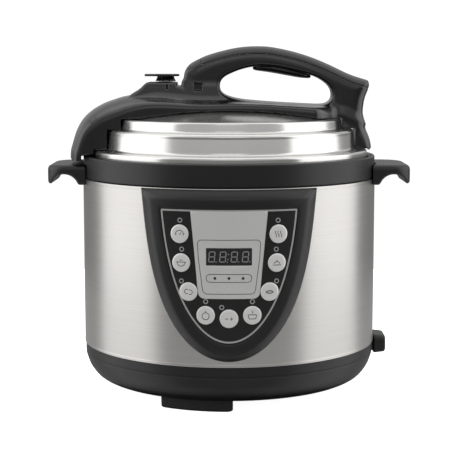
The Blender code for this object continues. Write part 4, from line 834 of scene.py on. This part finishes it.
windowEdge = roundedProfile([(-windowHalf, windowTop, 0.5 * mm), (windowHalf, windowTop, 0.5 * mm),
                             (windowHalf, windowLow, 0.5 * mm), (-windowHalf, windowLow, 0.5 * mm)])
plateLoop, windowLoop = byAngle(plateEdge, windowMiddle), byAngle(windowEdge, windowMiddle)
plateFace = face + 0.55 * mm
plateSteps = [(0, face - 1 * mm), (0, plateFace - 0.2 * mm), (0.008, plateFace)]
plateSteps += [(s, plateFace) for s in np.linspace(0.05, 0.98, 12)] + [(1, plateFace - 0.12 * mm),
                                                                       (1, face - 1 * mm)]
makePiece("panelPlate", [bandPart(plateLoop, windowLoop, plateSteps)], inkSilver, "body",
          ["panel_plate"])
makePiece("displayWindow", [patchPart(windowLoop, windowMiddle, face - 1 * mm, plateFace - 0.1 * mm, 0.1 * mm,
                                      12, 10 * mm)], smokedAcrylic,
          "body", ["display_lens"])

lineParts = []
innerLine = roundedProfile([(-27.2 * mm, plateTop - 24.3 * mm, 4.2 * mm),
                            (27.2 * mm, plateTop - 24.3 * mm, 4.2 * mm),
                            (26.2 * mm, plateTop - 40 * mm, 3 * mm),
                            (22.2 * mm, plateLow + 4.2 * mm, 4.2 * mm),
                            (-22.2 * mm, plateLow + 4.2 * mm, 4.2 * mm),
                            (-26.2 * mm, plateTop - 40 * mm, 3 * mm)], steps=9)
lineParts.append(ribbonPart(innerLine, plateShape["lineWidth"], plateFace - 0.2 * mm, plateFace + 0.05 * mm))
pillZ = plateTop - plateShape["pillDrop"]
pill = roundedProfile([(x * mm, pillZ + z * mm, 4.4 * mm) for x,
                       z in ((-19.4, 3.4), (19.4, 3.4), (19.4, -3.4), (-19.4, -3.4))], steps=11)
lineParts.append(ribbonPart(pill, plateShape["lineWidth"], plateFace - 0.2 * mm, plateFace + 0.05 * mm))
for x in (-12, 0, 12):
    lineParts.append(patchPart(circle((x * mm, pillZ), 1.25 * mm, 24), (x * mm, pillZ), plateFace - 0.4 * mm,
                               plateFace + 0.06 * mm,
                               0.05 * mm, 3, 1.25 * mm))
makePiece("plateLines", lineParts, darkInk, "body")

# seven-segment digits: each bar is a slim hexagon, leaning a little to the right
digitShape = {"width": 4.9 * mm, "height": 8.6 * mm, "bar": 0.75 * mm, "lean": 0.09,
              "centres": (-14.6, -5.2, 4.5, 14.1)}
segmentParts = []
w, h, b = digitShape["width"] / 2, digitShape["height"] / 2, digitShape["bar"] / 2
bars = [((-w, h), (w, h)), ((-w, 0), (w, 0)), ((-w, -h), (w, -h)), ((-w, 0), (-w, h)), ((w, 0), (w, h)),
        ((-w, -h), (-w, 0)), ((w, -h), (w, 0))]
for centre in digitShape["centres"]:
    for start, end in bars:
        start, end = np.array(start), np.array(end)
        along = unit(end - start)
        across = along[::-1] * [1, -1] * b
        first, last = start + along * b * 1.3, end - along * b * 1.3
        hexagon = np.array([first - along * b * 0.8, first + across, last + across, last + along * b * 0.8,
                            last - across, first - across])
        hexagon[:, 0] += hexagon[:, 1] * digitShape["lean"] + centre * mm
        hexagon[:, 1] += windowMiddle[1]
        segmentParts.append(patchPart(hexagon, hexagon.mean(0), face - 0.5 * mm, plateFace + 0.02 * mm,
                                      0.02 * mm, 2, 1 * mm))
dots = [(c + 3.6, -4.3) for c in digitShape["centres"]] + [(-0.5, 2.2), (-0.8, -2.2)]
for x, z in dots:
    centre = (x * mm, windowMiddle[1] + z * mm)
    segmentParts.append(patchPart(circle(centre, 0.5 * mm, 16), centre, face - 0.5 * mm,
                                  plateFace + 0.02 * mm, 0.02 * mm, 2, 1 * mm))
makePiece("displaySegments", segmentParts, paleSegment, "body")

ringParts = []
for arc, z in ((-42.4, 26.2), (-40.8, 51.0), (-41.2, 78.4), (-20.0, 95.5), (-6.2, 100.4), (20.0, 95.5),
               (41.2, 78.4), (40.8, 51.0), (42.4, 26.2)):
    ringParts.append(ribbonPart(circle((arc * mm, shellTop - z * mm), 1.75 * mm, 32), 0.8 * mm,
                                face - 0.3 * mm, face + 0.1 * mm))
makePiece("indicatorRings", ringParts, silverLine, "body")
print("panel made")

# nine buttons, each with a plain line symbol
buttonShape = {"radius": 8.0 * mm, "proud": 1.15 * mm, "edge": 0.7 * mm, "lineWidth": 0.55 * mm,
               "flange": 1.0 * mm, "flangeFront": 5.2 * mm, "flangeBack": 6.3 * mm, "symbolScale": 1.05}
buttonPlaces = {1: (-42.7, 37.8), 2: (-41.4, 62.5), 3: (-35.0, 87.3), 4: (-20.0, 107.3), 5: (0.0, 110.1),
                6: (20.0, 107.3),
                7: (35.0, 87.3), 8: (41.4, 62.5), 9: (42.7, 37.8)}


def arcLine(cx, cy, radius, start, end, count=16):
    a = np.radians(np.linspace(start, end, count))
    return np.stack([cx + radius * np.cos(a), cy + radius * np.sin(a)], -1)


def waveLine(x, low, high, size=0.6, count=14):
    t = np.linspace(0, 1, count)
    return np.stack([x + size * np.sin(t * fullTurn), low + (high - low) * t], -1)


symbols = {
    1: [arcLine(0, -0.6, 3.6, 0, 180), [(0, -0.6), (1.3, 1.2)], [(-3.6, -0.6), (-2.6, -0.6)],
        [(2.6, -0.6), (3.6, -0.6)]],
    2: [arcLine(0, 0.6, 3.4, 180, 360), [(-4.2, 0.6), (4.2, 0.6)], [(-1.2, 2.2), (1.2, 2.2)]],
    3: [arcLine(-1.4, 0.2, 1.9, 60, 300), arcLine(1.4, -0.2, 1.9, 240, 480)],
    4: [arcLine(0, -0.6, 2.9, 0, 360, 25), [(0, 2.3), (0, 3.8)]],
    5: [[(-3, 0), (-0.6, 0)], [(0.8, 0), (3.2, 0)], [(2.0, -1.2), (2.0, 1.2)]],
    6: [[(-3.4, 0.6), (-2.8, -2.8), (2.8, -2.8), (3.4, 0.6), (-3.4, 0.6)], waveLine(0, 1.8, 4.0, 0.4)],
    7: [arcLine(0, -3.2, 4.4, 45, 135), arcLine(0, 3.0, 4.4, 225, 315), [(-2.4, -0.1), (2.4, -0.1)]],
    8: [arcLine(0, -1.6, 2.6, 20, 160), [(-3.4, -1.8), (3.4, -1.8)], [(0, 1.0), (0, 2.6)]],
    9: [waveLine(-2.2, -2.6, 2.6), waveLine(0, -2.6, 2.6), waveLine(2.2, -2.6, 2.6)],
}
capFace = faceR + buttonShape["proud"]
for number, (arc, drop) in buttonPlaces.items():
    centre = (arc * mm, shellTop - drop * mm)
    loop, middle = circle(centre, buttonShape["radius"], 56), np.array(centre)
    r, e = buttonShape["radius"], buttonShape["edge"]
    flange = buttonShape["flange"] / r
    front, back = faceR - buttonShape["flangeFront"], faceR - buttonShape["flangeBack"]
    steps = [(s, capFace) for s in (1, 0.8, 0.6, 0.4, 0.25)]
    steps += [(e * 1.3 / r, capFace - 0.02 * mm), (e * 0.7 / r, capFace - 0.12 * mm),
              (e * 0.3 / r, capFace - 0.32 * mm), (0, capFace - e),
              (0, front), (-flange, front), (-flange, back), (1, back)]
    loops = [onPanel(*(loop + (middle - loop) * share).T, radius) for share, radius in steps]
    makePiece("buttonCap%d" % number, [gridPart(np.array(loops), wrapU=True, wrapV=True)], silverLacquer,
              "button_%d" % number,
              ["button_%d" % number], sharp=60)
    strokes = []
    for line in symbols[number]:
        path = np.array(line, float) * mm * buttonShape["symbolScale"] + middle
        strokes.append(ribbonPart(path, buttonShape["lineWidth"], capFace - 0.15 * mm, capFace + 0.05 * mm,
                                  closed=False))
    makePiece("buttonSymbol%d" % number, strokes, darkInk, "button_%d" % number)
print("buttons made")

# lid cover with its valve housing and arched handle, as one soft-cornered solid
coverShape = {"half": 42 * mm, "shoulder": 78 * mm, "neck": 104 * mm, "endRadius": 124 * mm,
              "tipRadius": 40 * mm, "edgeRound": 4.5 * mm, "step": 1.0 * mm, "fillet": 7 * mm,
              "handleHalf": 17 * mm, "handleRound": 13 * mm, "gapRound": 5 * mm, "topShell": 7 * mm}
coverSide = smoothCurve(np.array([
    (-149.1, -36.7), (-148.6, -29), (-146.9, -23), (-145, -16.5), (-142.6, -10), (-139, -3.2), (-134.6, 2.4),
    (-129.9, 6.6),
    (-124.1, 10.6), (-115.6, 14.9), (-107.1, 17.9), (-99.5, 20.2), (-90, 21.8), (-78, 22), (-62, 20.6),
    (-45, 18.6), (-30, 17.2),
    (-10, 16.6), (12, 16.4), (30, 16.2), (48, 15.7), (66, 15.2), (82, 14.5), (96, 13.2), (106, 11.2),
    (113, 8.6), (119, 4.6),
    (123.4, -0.6), (126.6, -6), (129.2, -11), (131.6, -16.5), (133.2, -21.5), (134.3, -27.4)]) * mm
    + [0, ringTop], 6, closed=False)
coverSide = np.concatenate([coverSide,
                            np.array([(130, -27.5), (-136, -27.5), (-137, -36.8)]) * mm + [0, ringTop]])
archOuter = smoothCurve(np.array([
    (-42.2, 38.2), (-41.2, 43.6), (-38.6, 48.2), (-34.5, 51.9), (-24.1, 57.2), (-15, 60.4), (-5, 63.1),
    (5, 65.3), (16, 66.7), (27.5, 67.1),
    (37, 66.6), (47, 65.0), (58, 62.6), (68.8, 59.6), (80, 55.7), (90.4, 51.4), (99.5, 47.2), (108.3, 43.0),
    (115, 40.2), (121.6, 38.0), (127, 36.4),
    (130.2, 35.2)]) * mm, 5, closed=False)
rightLeg = smoothCurve(np.array([(131.0, 33.2), (131.2, 30.6), (130.2, 26.6), (128.6, 22.6), (127.2, 18.4),
                                 (126.2, 13), (125.6, 6), (126.2, 0),
                                 (127.5, -5)]) * mm, 5, closed=False)
housing = np.array([(118, -9), (60, 0), (-95, 8), (-93.5, 19.5), (-91.4, 22.4), (-88.4, 24.4), (-85.2, 26.3),
                    (-81.6, 29.0), (-78.9, 31.8),
                    (-77.0, 33.3), (-74.6, 33.9), (-48.6, 33.9), (-48.2, 30.6), (-44.6, 30.6), (-44.2, 34.0),
                    (-43.2, 36.0)]) * mm
frameSide = np.concatenate([archOuter, rightLeg, housing]) + [0, ringTop]
fingerGap = smoothCurve(np.array([
    (-6.6, 33.6), (-7.2, 29.4), (-6.0, 25.8), (-2.2, 22.9), (5, 20.3), (14, 18.4), (24, 17.2), (42, 15.6),
    (61, 14.5), (76, 13.8), (85.5, 13.7),
    (90.9, 15.0), (94.0, 18.0), (95.0, 21.8), (94.0, 26.4), (91.0, 30.6), (86, 34.4), (80.4, 37.4),
    (74, 39.6), (66, 41.6), (55, 44.2), (44, 46.2),
    (33, 47.2), (22, 46.6), (12, 44.4), (3, 41.0), (-3.4, 37.6)]) * mm + [0, ringTop], 6)
lidShape = np.array([(0, ringTop + 9.6 * mm), (30 * mm, ringTop + 8.7 * mm), (60 * mm, ringTop + 5.8 * mm),
                     (domeR, ringTop + 0.6 * mm),
                     (topRingR + 0.6 * mm, ringTop + 0.6 * mm), (topRingR + 0.6 * mm, midRingZ + 0.6 * mm),
                     (midRingR + 0.6 * mm, midRingZ + 0.6 * mm), (midRingR + 0.6 * mm, flangeZ + 0.6 * mm),
                     (flangeR + 0.6 * mm, flangeZ + 0.6 * mm), (flangeR + 0.6 * mm, collarTop + 1.2 * mm),
                     (collarR + 4.5 * mm, collarTop + 1.2 * mm), (collarR + 4.5 * mm, skirtLow - 8 * mm),
                     (-20 * mm, skirtLow - 8 * mm), (-20 * mm, ringTop + 9.6 * mm)])
coverField2 = OutlineField(coverSide, 14 * mm)
frameField2 = OutlineField(frameSide, 14 * mm)
gapField2 = OutlineField(fingerGap, 14 * mm)
lidField2 = OutlineField(lidShape, 10 * mm)
archTop = np.concatenate([np.array([(-60, 38)]) * mm, archOuter, np.array([(140, 34)]) * mm]) + [0, ringTop]
housingTop = ringTop + 34 * mm


def coverHalf(x):
    # half the cover's width at x: full up to the shoulder, then eased down to the handle's width
    ease = smoothStep(coverShape["shoulder"], coverShape["neck"], x)
    return coverShape["half"] + (coverShape["handleHalf"] - coverShape["half"]) * ease


def crown(x, y):
    # how far the cover's back falls from the middle line to its edge
    deep = np.interp(x, np.array([-150, -134, -124, -107, -90, -60, -30, 0, 40, 75, 100, 125, 140]) * mm,
                     np.array([0.5, 5.0, 8.0, 10.0, 9.6, 6.2, 3.8, 2.4, 2.6, 4.6, 5.0, 3.0, 2.0]) * mm)
    return deep * (np.abs(y) / coverHalf(x)) ** 2.3


def archField(x, y, z):
    # the handle's side outline with rounded flanks, which spread where the legs stand on the cover
    spread = 9 * mm * smoothStep(ringTop + 36 * mm, ringTop + 6 * mm, z) * smoothStep(90 * mm, 50 * mm, x)
    flank = np.abs(y) - coverShape["handleHalf"] - spread + 0 * x
    outline = frameField2(x + 0 * y, z + 0 * y)
    soft = coverShape["handleRound"] - 9 * mm * smoothStep(-34 * mm, -48 * mm, x)
    return softMax(softMax(outline, flank, soft), -gapField2(x + 0 * y, z + 0 * y), coverShape["gapRound"])


def shellSplit(x, z):
    # negative inside the handle's top shell: above the seam and right of its slanted left end
    seam = np.interp(x, archTop[:, 0], archTop[:, 1]) - coverShape["topShell"]
    return -np.minimum(z - seam, x + 27 * mm + (z - ringTop - 55 * mm) * 0.35)


def coverField(x, y, z):
    endR, tipR = coverShape["endRadius"], coverShape["tipRadius"]
    endBow = endR - np.sqrt(endR ** 2 - np.minimum(np.abs(y), 50 * mm) ** 2)
    tipBow = tipR - np.sqrt(tipR ** 2 - np.minimum(np.abs(y), 30 * mm) ** 2)
    across = x + endBow * np.clip(x / (100 * mm), -1, 0) + tipBow * smoothStep(90 * mm, 125 * mm, x)
    back = coverField2(across + 0 * z, z + crown(x, y))
    slope = (coverHalf(x + 1 * mm) - coverHalf(x - 1 * mm)) / (2 * mm)
    flank = (np.abs(y) - coverHalf(x)) / np.sqrt(1 + slope ** 2)
    body = softMax(back, flank, coverShape["edgeRound"])
    arch = archField(x, y, z)
    fillet = coverShape["fillet"] * (0.18 + 0.82 * smoothStep(-90 * mm, -62 * mm, x))
    joined = softMin(body, arch, fillet)
    joined = softMax(joined, -gapField2(x + 0 * y, z + 0 * y), coverShape["gapRound"])
    joined = softMax(joined, -shellSplit(x, z) + 0.04 * mm + 0 * y, 0.25 * mm)
    pocket = np.maximum(np.maximum(np.abs(x + 28.6 * mm) - 3.6 * mm,
                                   np.abs(z - ringTop - 29.2 * mm) - 3.4 * mm), 14.6 * mm - np.abs(y))
    slot = np.maximum(np.maximum(np.abs(x + 57.5 * mm) - 0.8 * mm,
                                 np.abs(z - housingTop + 4.6 * mm) - 2.4 * mm), 15.4 * mm - np.abs(y))
    well = np.maximum(np.hypot(x - valveX, y) - 10 * mm, housingTop - 14 * mm - z)
    pipe = np.hypot(x - valveX, y) - 9.5 * mm + 0 * z
    pipe = np.maximum(pipe, z - ringTop - 14 * mm)
    window = np.hypot(x + 25 * mm, y - 26 * mm) - 5.5 * mm + 0 * z
    cutter = np.minimum(np.minimum(pocket, slot), np.minimum(np.minimum(well, pipe), window))
    joined = softMax(joined, -cutter, 0.5 * mm)
    lid = lidField2(np.hypot(x, y) + 0 * z, z + 0 * x + 0 * y)
    return np.maximum(joined, -lid)


def topShellField(x, y, z):
    return softMax(archField(x, y, z), shellSplit(x, z) + 0.04 * mm + 0 * y, 0.25 * mm)


makePiece("lidCover", [skinPart(coverField, (-150.4 * mm, -43.2 * mm, coverLow[2] - 1.4 * mm),
                                (136 * mm, 43.2 * mm, handleHigh[2] + 0.6 * mm),
                                coverShape["step"])], glossyBlack, "lid",
                                ["lid_cover"], sharp=75)
makePiece("handleTopShell", [skinPart(topShellField, (-46.4 * mm, -18.3 * mm, handleLow[2] - 1.2 * mm),
                                      (132.8 * mm, 18.3 * mm, handleHigh[2] + 1.3 * mm),
                                      0.75 * coverShape["step"])],
          glossyBlack, "lid", ["handle_top_cover"], sharp=75)
print("cover and handle made")

# the glossy grip pad under the arch: a spindle whose section is a flattened oval
gripLow, gripHigh = corners("grip_strip")
t = np.linspace(0, 1, 60)[:, None]
padX = gripLow[0] + (gripHigh[0] - gripLow[0]) * t
roofX, roofZ = fingerGap[:, 0], fingerGap[:, 1]
roofMask = roofZ > ringTop + 33 * mm
order = np.argsort(roofX[roofMask])
roof = np.interp(padX, roofX[roofMask][order], roofZ[roofMask][order])
swell = np.sin(math.pi * t) ** 0.35
around = np.linspace(0, fullTurn, 36, endpoint=False)[None]
padY = (gripHigh[1] - 0.4 * mm) * swell * np.sign(np.sin(around)) * np.abs(np.sin(around)) ** 0.8
padZ = roof + 0.2 * mm + np.cos(around) * swell * 4.8 * mm
grid = np.stack([padX + 0 * around, padY, np.minimum(padZ, roof + 1.5 * mm)], -1)
makePiece("gripPad", [gridPart(grid, wrapV=True, capU=True)], glossyBlack, "lid",
          ["grip_strip"])

# valve: turning plate, weight, steam pipe, filter cap and nut
knobLow, knobHigh = corners("valve_knob")
knobShape = {"round": 1.0 * mm, "step": 0.55 * mm}


def knobField(x, y, z):
    # a plate that is round at one end and drawn in at the other, on a tapered stem with grip flutes
    radius = knobHigh[1]
    u = x - valveX
    back = np.hypot(u, y) - radius
    tongue = np.maximum(np.abs(y) - radius + np.maximum(0, -u - 8 * mm) * 0.45,
                        np.maximum(u, knobLow[0] - valveX - u))
    plan = softMin(back, tongue, 2 * mm)
    plate = softMax(plan + 0 * z, np.abs(z - (knobHigh[2] - 1.1 * mm)) - 1.1 * mm + 0 * x, knobShape["round"])
    stemR = 9.4 * mm - (z - knobLow[2]) * 0.45
    flute = 0.35 * mm * np.cos(18 * np.arctan2(y, u))
    stem = np.maximum(np.hypot(u, y) - stemR + flute, np.maximum(knobLow[2] - z, z - knobHigh[2] + 1 * mm))
    return softMin(plate, stem, 0.8 * mm)


makePiece("valveKnob", [skinPart(knobField, knobLow - 1 * mm, knobHigh + 1 * mm, knobShape["step"])],
          glossyBlack,
          "knob", ["valve_knob"], sharp=50)

weightLow, weightHigh = corners("valve_weight")
pipeLow, pipeHigh = corners("steam_pipe")
valveShape = {"bore": 6.2 * mm, "pipe": 5.5 * mm, "channel": 3 * mm, "nut": 9.2 * mm, "seatGap": 0.35 * mm}
boreR, pipeR, nutR = valveShape["bore"], valveShape["pipe"], valveShape["nut"]
boreTop = pipeHigh[2] + valveShape["seatGap"]
weightR = (weightHigh[0] - weightLow[0]) / 2
turnedPiece("valveWeight", [
    (0, weightHigh[2], 0), (weightR - 0.8 * mm, weightHigh[2], 0.8 * mm),
    (weightR, weightHigh[2] - 1 * mm, 0.6 * mm),
    (weightR, weightLow[2] + 5 * mm, 0.3 * mm), (weightR - 0.6 * mm, weightLow[2] + 4.4 * mm, 0.3 * mm),
    (weightR - 0.6 * mm, weightLow[2] + 3.4 * mm, 0.3 * mm), (weightR, weightLow[2] + 2.8 * mm, 0.3 * mm),
    (weightR, weightLow[2], 0.4 * mm),
    (boreR, weightLow[2], 0.3 * mm), (boreR, boreTop, 0.3 * mm), (0, boreTop, 0)],
    dullSteel, "weight", ["valve_weight"], steps=48, centre=(valveX, 0))
pipeFoot, pipeTop = pipeLow[2], pipeHigh[2]
turnedPiece("steamPipe", [
    (valveShape["channel"], pipeFoot, 0.3 * mm), (pipeR, pipeFoot, 0.4 * mm),
    (pipeR, pipeFoot + 2 * mm, 0.2 * mm),
    (nutR, pipeFoot + 2 * mm, 0.5 * mm), (nutR, pipeFoot + 4.5 * mm, 0.5 * mm),
    (pipeR, pipeFoot + 4.6 * mm, 0.3 * mm),
    (pipeR, pipeTop - 3 * mm, 0.5 * mm), (4.2 * mm, pipeTop, 0.3 * mm),
    (valveShape["channel"], pipeTop, 0.2 * mm)],
    dullSteel, "lid", ["steam_pipe"], steps=48, centre=(valveX, 0))
capLow, capHigh = corners("filter_cap")
capR = (capHigh[0] - capLow[0]) / 2
gills = []
for rise in (4, 8, 12):
    gillZ = capLow[2] + rise * mm
    gills += [(capR - 0.2 * mm, gillZ, 0.2 * mm), (capR - 0.9 * mm, gillZ + 0.5 * mm, 0.2 * mm),
              (capR - 0.9 * mm, gillZ + 1.3 * mm, 0.2 * mm), (capR - 0.2 * mm, gillZ + 1.8 * mm, 0.2 * mm)]
turnedPiece("filterCap", [
    (0, capLow[2] + 0.5 * mm, 0), (6 * mm, capLow[2] + 0.4 * mm, 1 * mm), (7.2 * mm, capLow[2], 0.8 * mm),
    (capR - 1.2 * mm, capLow[2], 0.8 * mm),
    (capR, capLow[2] + 1.4 * mm, 0.8 * mm), *gills, (capR, capHigh[2], 0.3 * mm),
    (capR - 1.5 * mm, capHigh[2], 0.3 * mm), (capR - 1.5 * mm, capLow[2] + 1.8 * mm, 0.4 * mm),
    (0, capLow[2] + 1.8 * mm, 0)],
    dullSteel, "lid", ["filter_cap"], steps=64, centre=(valveX, 0))
nutLow, nutHigh = corners("lid_nut")
nutPart = turnedPart(roundedProfile([
    (0, nutLow[2], 0), (6.8 * mm, nutLow[2], 1 * mm), (8 * mm, nutLow[2] + 1.4 * mm, 0.8 * mm),
    (8 * mm, nutHigh[2], 0.4 * mm), (0, nutHigh[2], 0)]), 96)
spokes = np.hypot(nutPart[0][:, 0], nutPart[0][:, 1])
flute = 1 - 0.05 * (spokes > 7.5 * mm) * (0.5
                                          + 0.5 * np.cos(12 * np.arctan2(nutPart[0][:, 1], nutPart[0][:, 0])))
fluted = nutPart[0] * np.stack([flute, flute, np.ones_like(flute)], -1)
makePiece("lidNut", [(fluted, nutPart[1])], satinBlack, "lid", ["lid_nut"])
print("valve parts made")

# mains inlet low on the right
inletLow, inletHigh = corners("mains_inlet")
inletY = (inletLow[1] + inletHigh[1]) / 2
inletHalf = (inletHigh[1] - inletLow[1]) / 2
inletShape = {"taper": 0.10, "cornerRound": 5 * mm, "innerHalf": 14.5 * mm, "innerTall": 5.8 * mm,
              "innerZ": 38 * mm,
              "socketHalf": 12.6 * mm, "socketTall": 5.0 * mm, "socketZ": 36.7 * mm, "step": 0.6 * mm}


def inletField(x, y, z):
    # a rounded shroud outside the base with a box behind it, and the socket's recess cut into both
    middle = (inletLow[2] + inletHigh[2]) / 2
    tall = (inletHigh[2] - inletLow[2]) / 2
    slope = inletShape["taper"] * np.maximum(0, x - shellR - 2 * mm)
    aside = np.abs(y - inletY)
    shroud = softMax(aside - inletHalf + slope, np.abs(z - middle) - tall + slope, inletShape["cornerRound"])
    shroud = softMax(shroud, np.maximum(shellR + 0.8 * mm - x, x - inletHigh[0]), 2.4 * mm)
    inner = np.maximum(aside - inletShape["innerHalf"],
                       np.abs(z - inletShape["innerZ"]) - inletShape["innerTall"])
    inner = np.maximum(inner, np.maximum(inletLow[0] - x, x - shellR - 3 * mm))
    recess = np.abs(z - inletShape["socketZ"]) - inletShape["socketTall"]
    socket = softMax(aside - inletShape["socketHalf"], recess, 3 * mm)
    socket = softMax(socket, inletLow[0] + 3 * mm - x, 0.5 * mm)
    return softMax(np.minimum(shroud, inner), -socket, 0.8 * mm)


makePiece("inletShroud", [skinPart(inletField, inletLow - 1 * mm, inletHigh + 1 * mm, inletShape["step"])],
          satinBlack,
          "body", ["mains_inlet"], sharp=45)

# condensate cup and its bracket at the back
cupLow, cupHigh = corners("condensate_cup")
cupShape = {"inside": 138.8 * mm, "wall": 1.5 * mm, "lid": 3 * mm, "cornerRound": 3 * mm,
            "railHalf": 34.4 * mm,
            "railInside": 138.5 * mm, "step": 0.75 * mm}


def cupField(x, y, z):
    # a thin tray that follows the body: rounded outside, the same shape drawn in for the hollow
    r = np.hypot(x, y)
    out = cupHigh[1] - r
    depth = softMax(-out, cupShape["inside"] - r, 1 * mm)
    sides = softMax(depth, np.abs(x) - cupHigh[0], cupShape["cornerRound"])
    floorRise = 3 * mm * smoothStep(144 * mm, 150 * mm, r)
    sides = softMax(sides, cupLow[2] - z + floorRise, cupShape["cornerRound"])
    solid = np.maximum(sides, z - cupHigh[2])
    hollow = np.maximum(sides + cupShape["wall"], z - cupHigh[2] - cupShape["lid"])
    return softMax(solid, -hollow, 0.5 * mm)


cupRoom = np.array([1.4 * mm, 2 * mm, 1.4 * mm]), np.array([1.4 * mm, 1.2 * mm, 1.4 * mm])
makePiece("condensateCup", [skinPart(cupField, cupLow - cupRoom[0], cupHigh + cupRoom[1], cupShape["step"])],
          frostedCup,
          "cup", ["condensate_cup"], sharp=50)
bracketLow, bracketHigh = corners("cup_bracket")


def bracketField(x, y, z):
    # a plate that hugs the steel, with a rail down each side and a top bar
    r = np.hypot(x, y)
    shell = np.maximum(shellR + 0.3 * mm - r, r - bracketHigh[1])
    outline = softMax(np.abs(x) - bracketHigh[0], np.maximum(z - bracketHigh[2], bracketLow[2] - z), 2 * mm)
    pocket = np.maximum(np.maximum(np.abs(x) - cupShape["railHalf"], cupShape["railInside"] - r),
                        z - cupHigh[2] - 1 * mm)
    return softMax(softMax(shell, outline, 1 * mm), -pocket, 0.4 * mm)


bracketFrom = bracketLow - np.array([1 * mm, 2 * mm, 1 * mm])
makePiece("cupBracket", [skinPart(bracketField, bracketFrom, bracketHigh + 1 * mm, cupShape["step"])],
          satinBlack,
          "body", ["cup_bracket"], sharp=50)
print("inlet and cup made")

# finishes for the inner nodes that keep their shape
carried = {"heating_element": castAluminium, "plate_spring": dullSteel, "probe_bracket": dullSteel,
           "probe_spring": dullSteel,
           "temperature_probe": spunAluminium, "thermal_fuse": heatWhite, "pressure_switch": heatWhite,
           "switch_plunger": redPlastic,
           "power_board": boardGreen, "control_board": boardGreen, "display_module": darkInk,
           "float_pin": redPlastic,
           "float_seal": clearSilicone, "inlet_pin_line": brassPin, "inlet_pin_earth": brassPin,
           "inlet_pin_neutral": brassPin}
for node, coat in carried.items():
    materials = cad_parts[node].data.materials
    materials.clear()
    materials.append(coat)
print("inner nodes finished")

# floor, lights and camera
studio = {"floorRadius": 0.75, "floorGlow": 0.95, "skyLow": 0.20, "skyHigh": 0.60, "sidePower": 9.6,
          "topPower": 8.0,
          "frontPower": 1.3}
floorPoints, floorFaces = turnedPart([(0, 0), (studio["floorRadius"], 0), (studio["floorRadius"], -0.002),
                                      (0, -0.002)], 96)
floorMesh = bpy.data.meshes.new("floor")
floorMesh.from_pydata(floorPoints.tolist(), [], floorFaces)
work = bmesh.new()
work.from_mesh(floorMesh)
bmesh.ops.remove_doubles(work, verts=work.verts, dist=1e-6)
bmesh.ops.recalc_face_normals(work, faces=work.faces)
work.to_mesh(floorMesh)
work.free()
floorMaterial = speckled("paleBacking", "#ececec", "#efefef", 0.7, 30)
floorShader = floorMaterial.node_tree.nodes["Principled BSDF"]
floorShader.inputs["Emission Color"].default_value = (1, 1, 1, 1)
floorShader.inputs["Emission Strength"].default_value = studio["floorGlow"]
floorShader.inputs["Specular IOR Level"].default_value = 0.1
# the pale backing is white to the camera alone: mirrored in the steel it is a glossy grey table
floorTree = floorMaterial.node_tree
dimFloor = addNode(floorTree, "ShaderNodeBsdfAnisotropic",
                   {"Color": (0.62, 0.62, 0.62, 1), "Roughness": 0.22})
floorSeen = addNode(floorTree, "ShaderNodeLightPath")
floorMixer = addNode(floorTree, "ShaderNodeMixShader", {"Fac": floorSeen.outputs["Is Camera Ray"]})
floorTree.links.new(dimFloor.outputs["BSDF"], floorMixer.inputs[1])
floorTree.links.new(floorShader.outputs["BSDF"], floorMixer.inputs[2])
floorTree.links.new(floorMixer.outputs["Shader"], floorTree.nodes["Material Output"].inputs["Surface"])
floorMesh.materials.append(floorMaterial)
floor = bpy.data.objects.new("floor", floorMesh)
bpy.context.scene.collection.objects.link(floor)

world = bpy.data.worlds.new("studio")
bpy.context.scene.world = world
world.use_nodes = True
worldTree = world.node_tree
backGround = worldTree.nodes["Background"]
backGround.inputs["Color"].default_value = (1, 1, 1, 1)
# the surroundings grow lighter from just below the level of the eye to well above it
direction = addNode(worldTree, "ShaderNodeTexCoord")
parts = addNode(worldTree, "ShaderNodeSeparateXYZ", {"Vector": direction.outputs["Generated"]})
lift = addNode(worldTree, "ShaderNodeMapRange",
               {"Value": parts.outputs["Z"], "From Min": -0.1, "From Max": 0.2,
                                                 "To Min": studio["skyLow"], "To Max": studio["skyHigh"]},
               interpolation_type="SMOOTHSTEP")
linkTo(worldTree, lift.outputs["Result"], backGround.inputs["Strength"])
white = addNode(worldTree, "ShaderNodeBackground", {"Color": (1, 1, 1, 1), "Strength": 1.05})
seen = addNode(worldTree, "ShaderNodeLightPath")
mixer = addNode(worldTree, "ShaderNodeMixShader", {"Fac": seen.outputs["Is Camera Ray"]})
worldTree.links.new(backGround.outputs["Background"], mixer.inputs[1])
worldTree.links.new(white.outputs["Background"], mixer.inputs[2])
worldTree.links.new(mixer.outputs["Shader"], worldTree.nodes["World Output"].inputs["Surface"])


def addSoftbox(name, place, target, width, height, power):
    light = bpy.data.lights.new(name, "AREA")
    light.shape = "RECTANGLE"
    light.size, light.size_y, light.energy = width, height, power
    made = bpy.data.objects.new(name, light)
    made.location = place
    aim = np.array(target) - np.array(place)
    flat = math.hypot(aim[0], aim[1])
    made.rotation_euler = (math.atan2(flat, -aim[2]), 0, math.atan2(aim[1], aim[0]) - math.pi / 2)
    bpy.context.scene.collection.objects.link(made)


addSoftbox("leftBox", (-1.25, -0.14, 0.45), (0, -0.04, 0.15), 1.4, 1.7, studio["sidePower"])
addSoftbox("rightBox", (1.25, -0.14, 0.45), (0, -0.04, 0.15), 1.4, 1.7, studio["sidePower"])
addSoftbox("topBox", (0, 0.15, 1.5), (0, 0, 0.1), 2.2, 1.8, studio["topPower"])
addSoftbox("frontBox", (0, -1.9, 1.1), (0, 0, 0.15), 1.0, 0.5, studio["frontPower"])

camera = bpy.data.cameras.new("camera")
camera.lens, camera.sensor_width = 106.5, 36
view = bpy.data.objects.new("camera", camera)
view.location = (0, -1.2815, 0.3092)
view.rotation_euler = (math.radians(90) - 0.124, 0, 0)
bpy.context.scene.collection.objects.link(view)
bpy.context.scene.camera = view
bpy.context.scene.view_settings.view_transform = "Standard"

print("stage set")
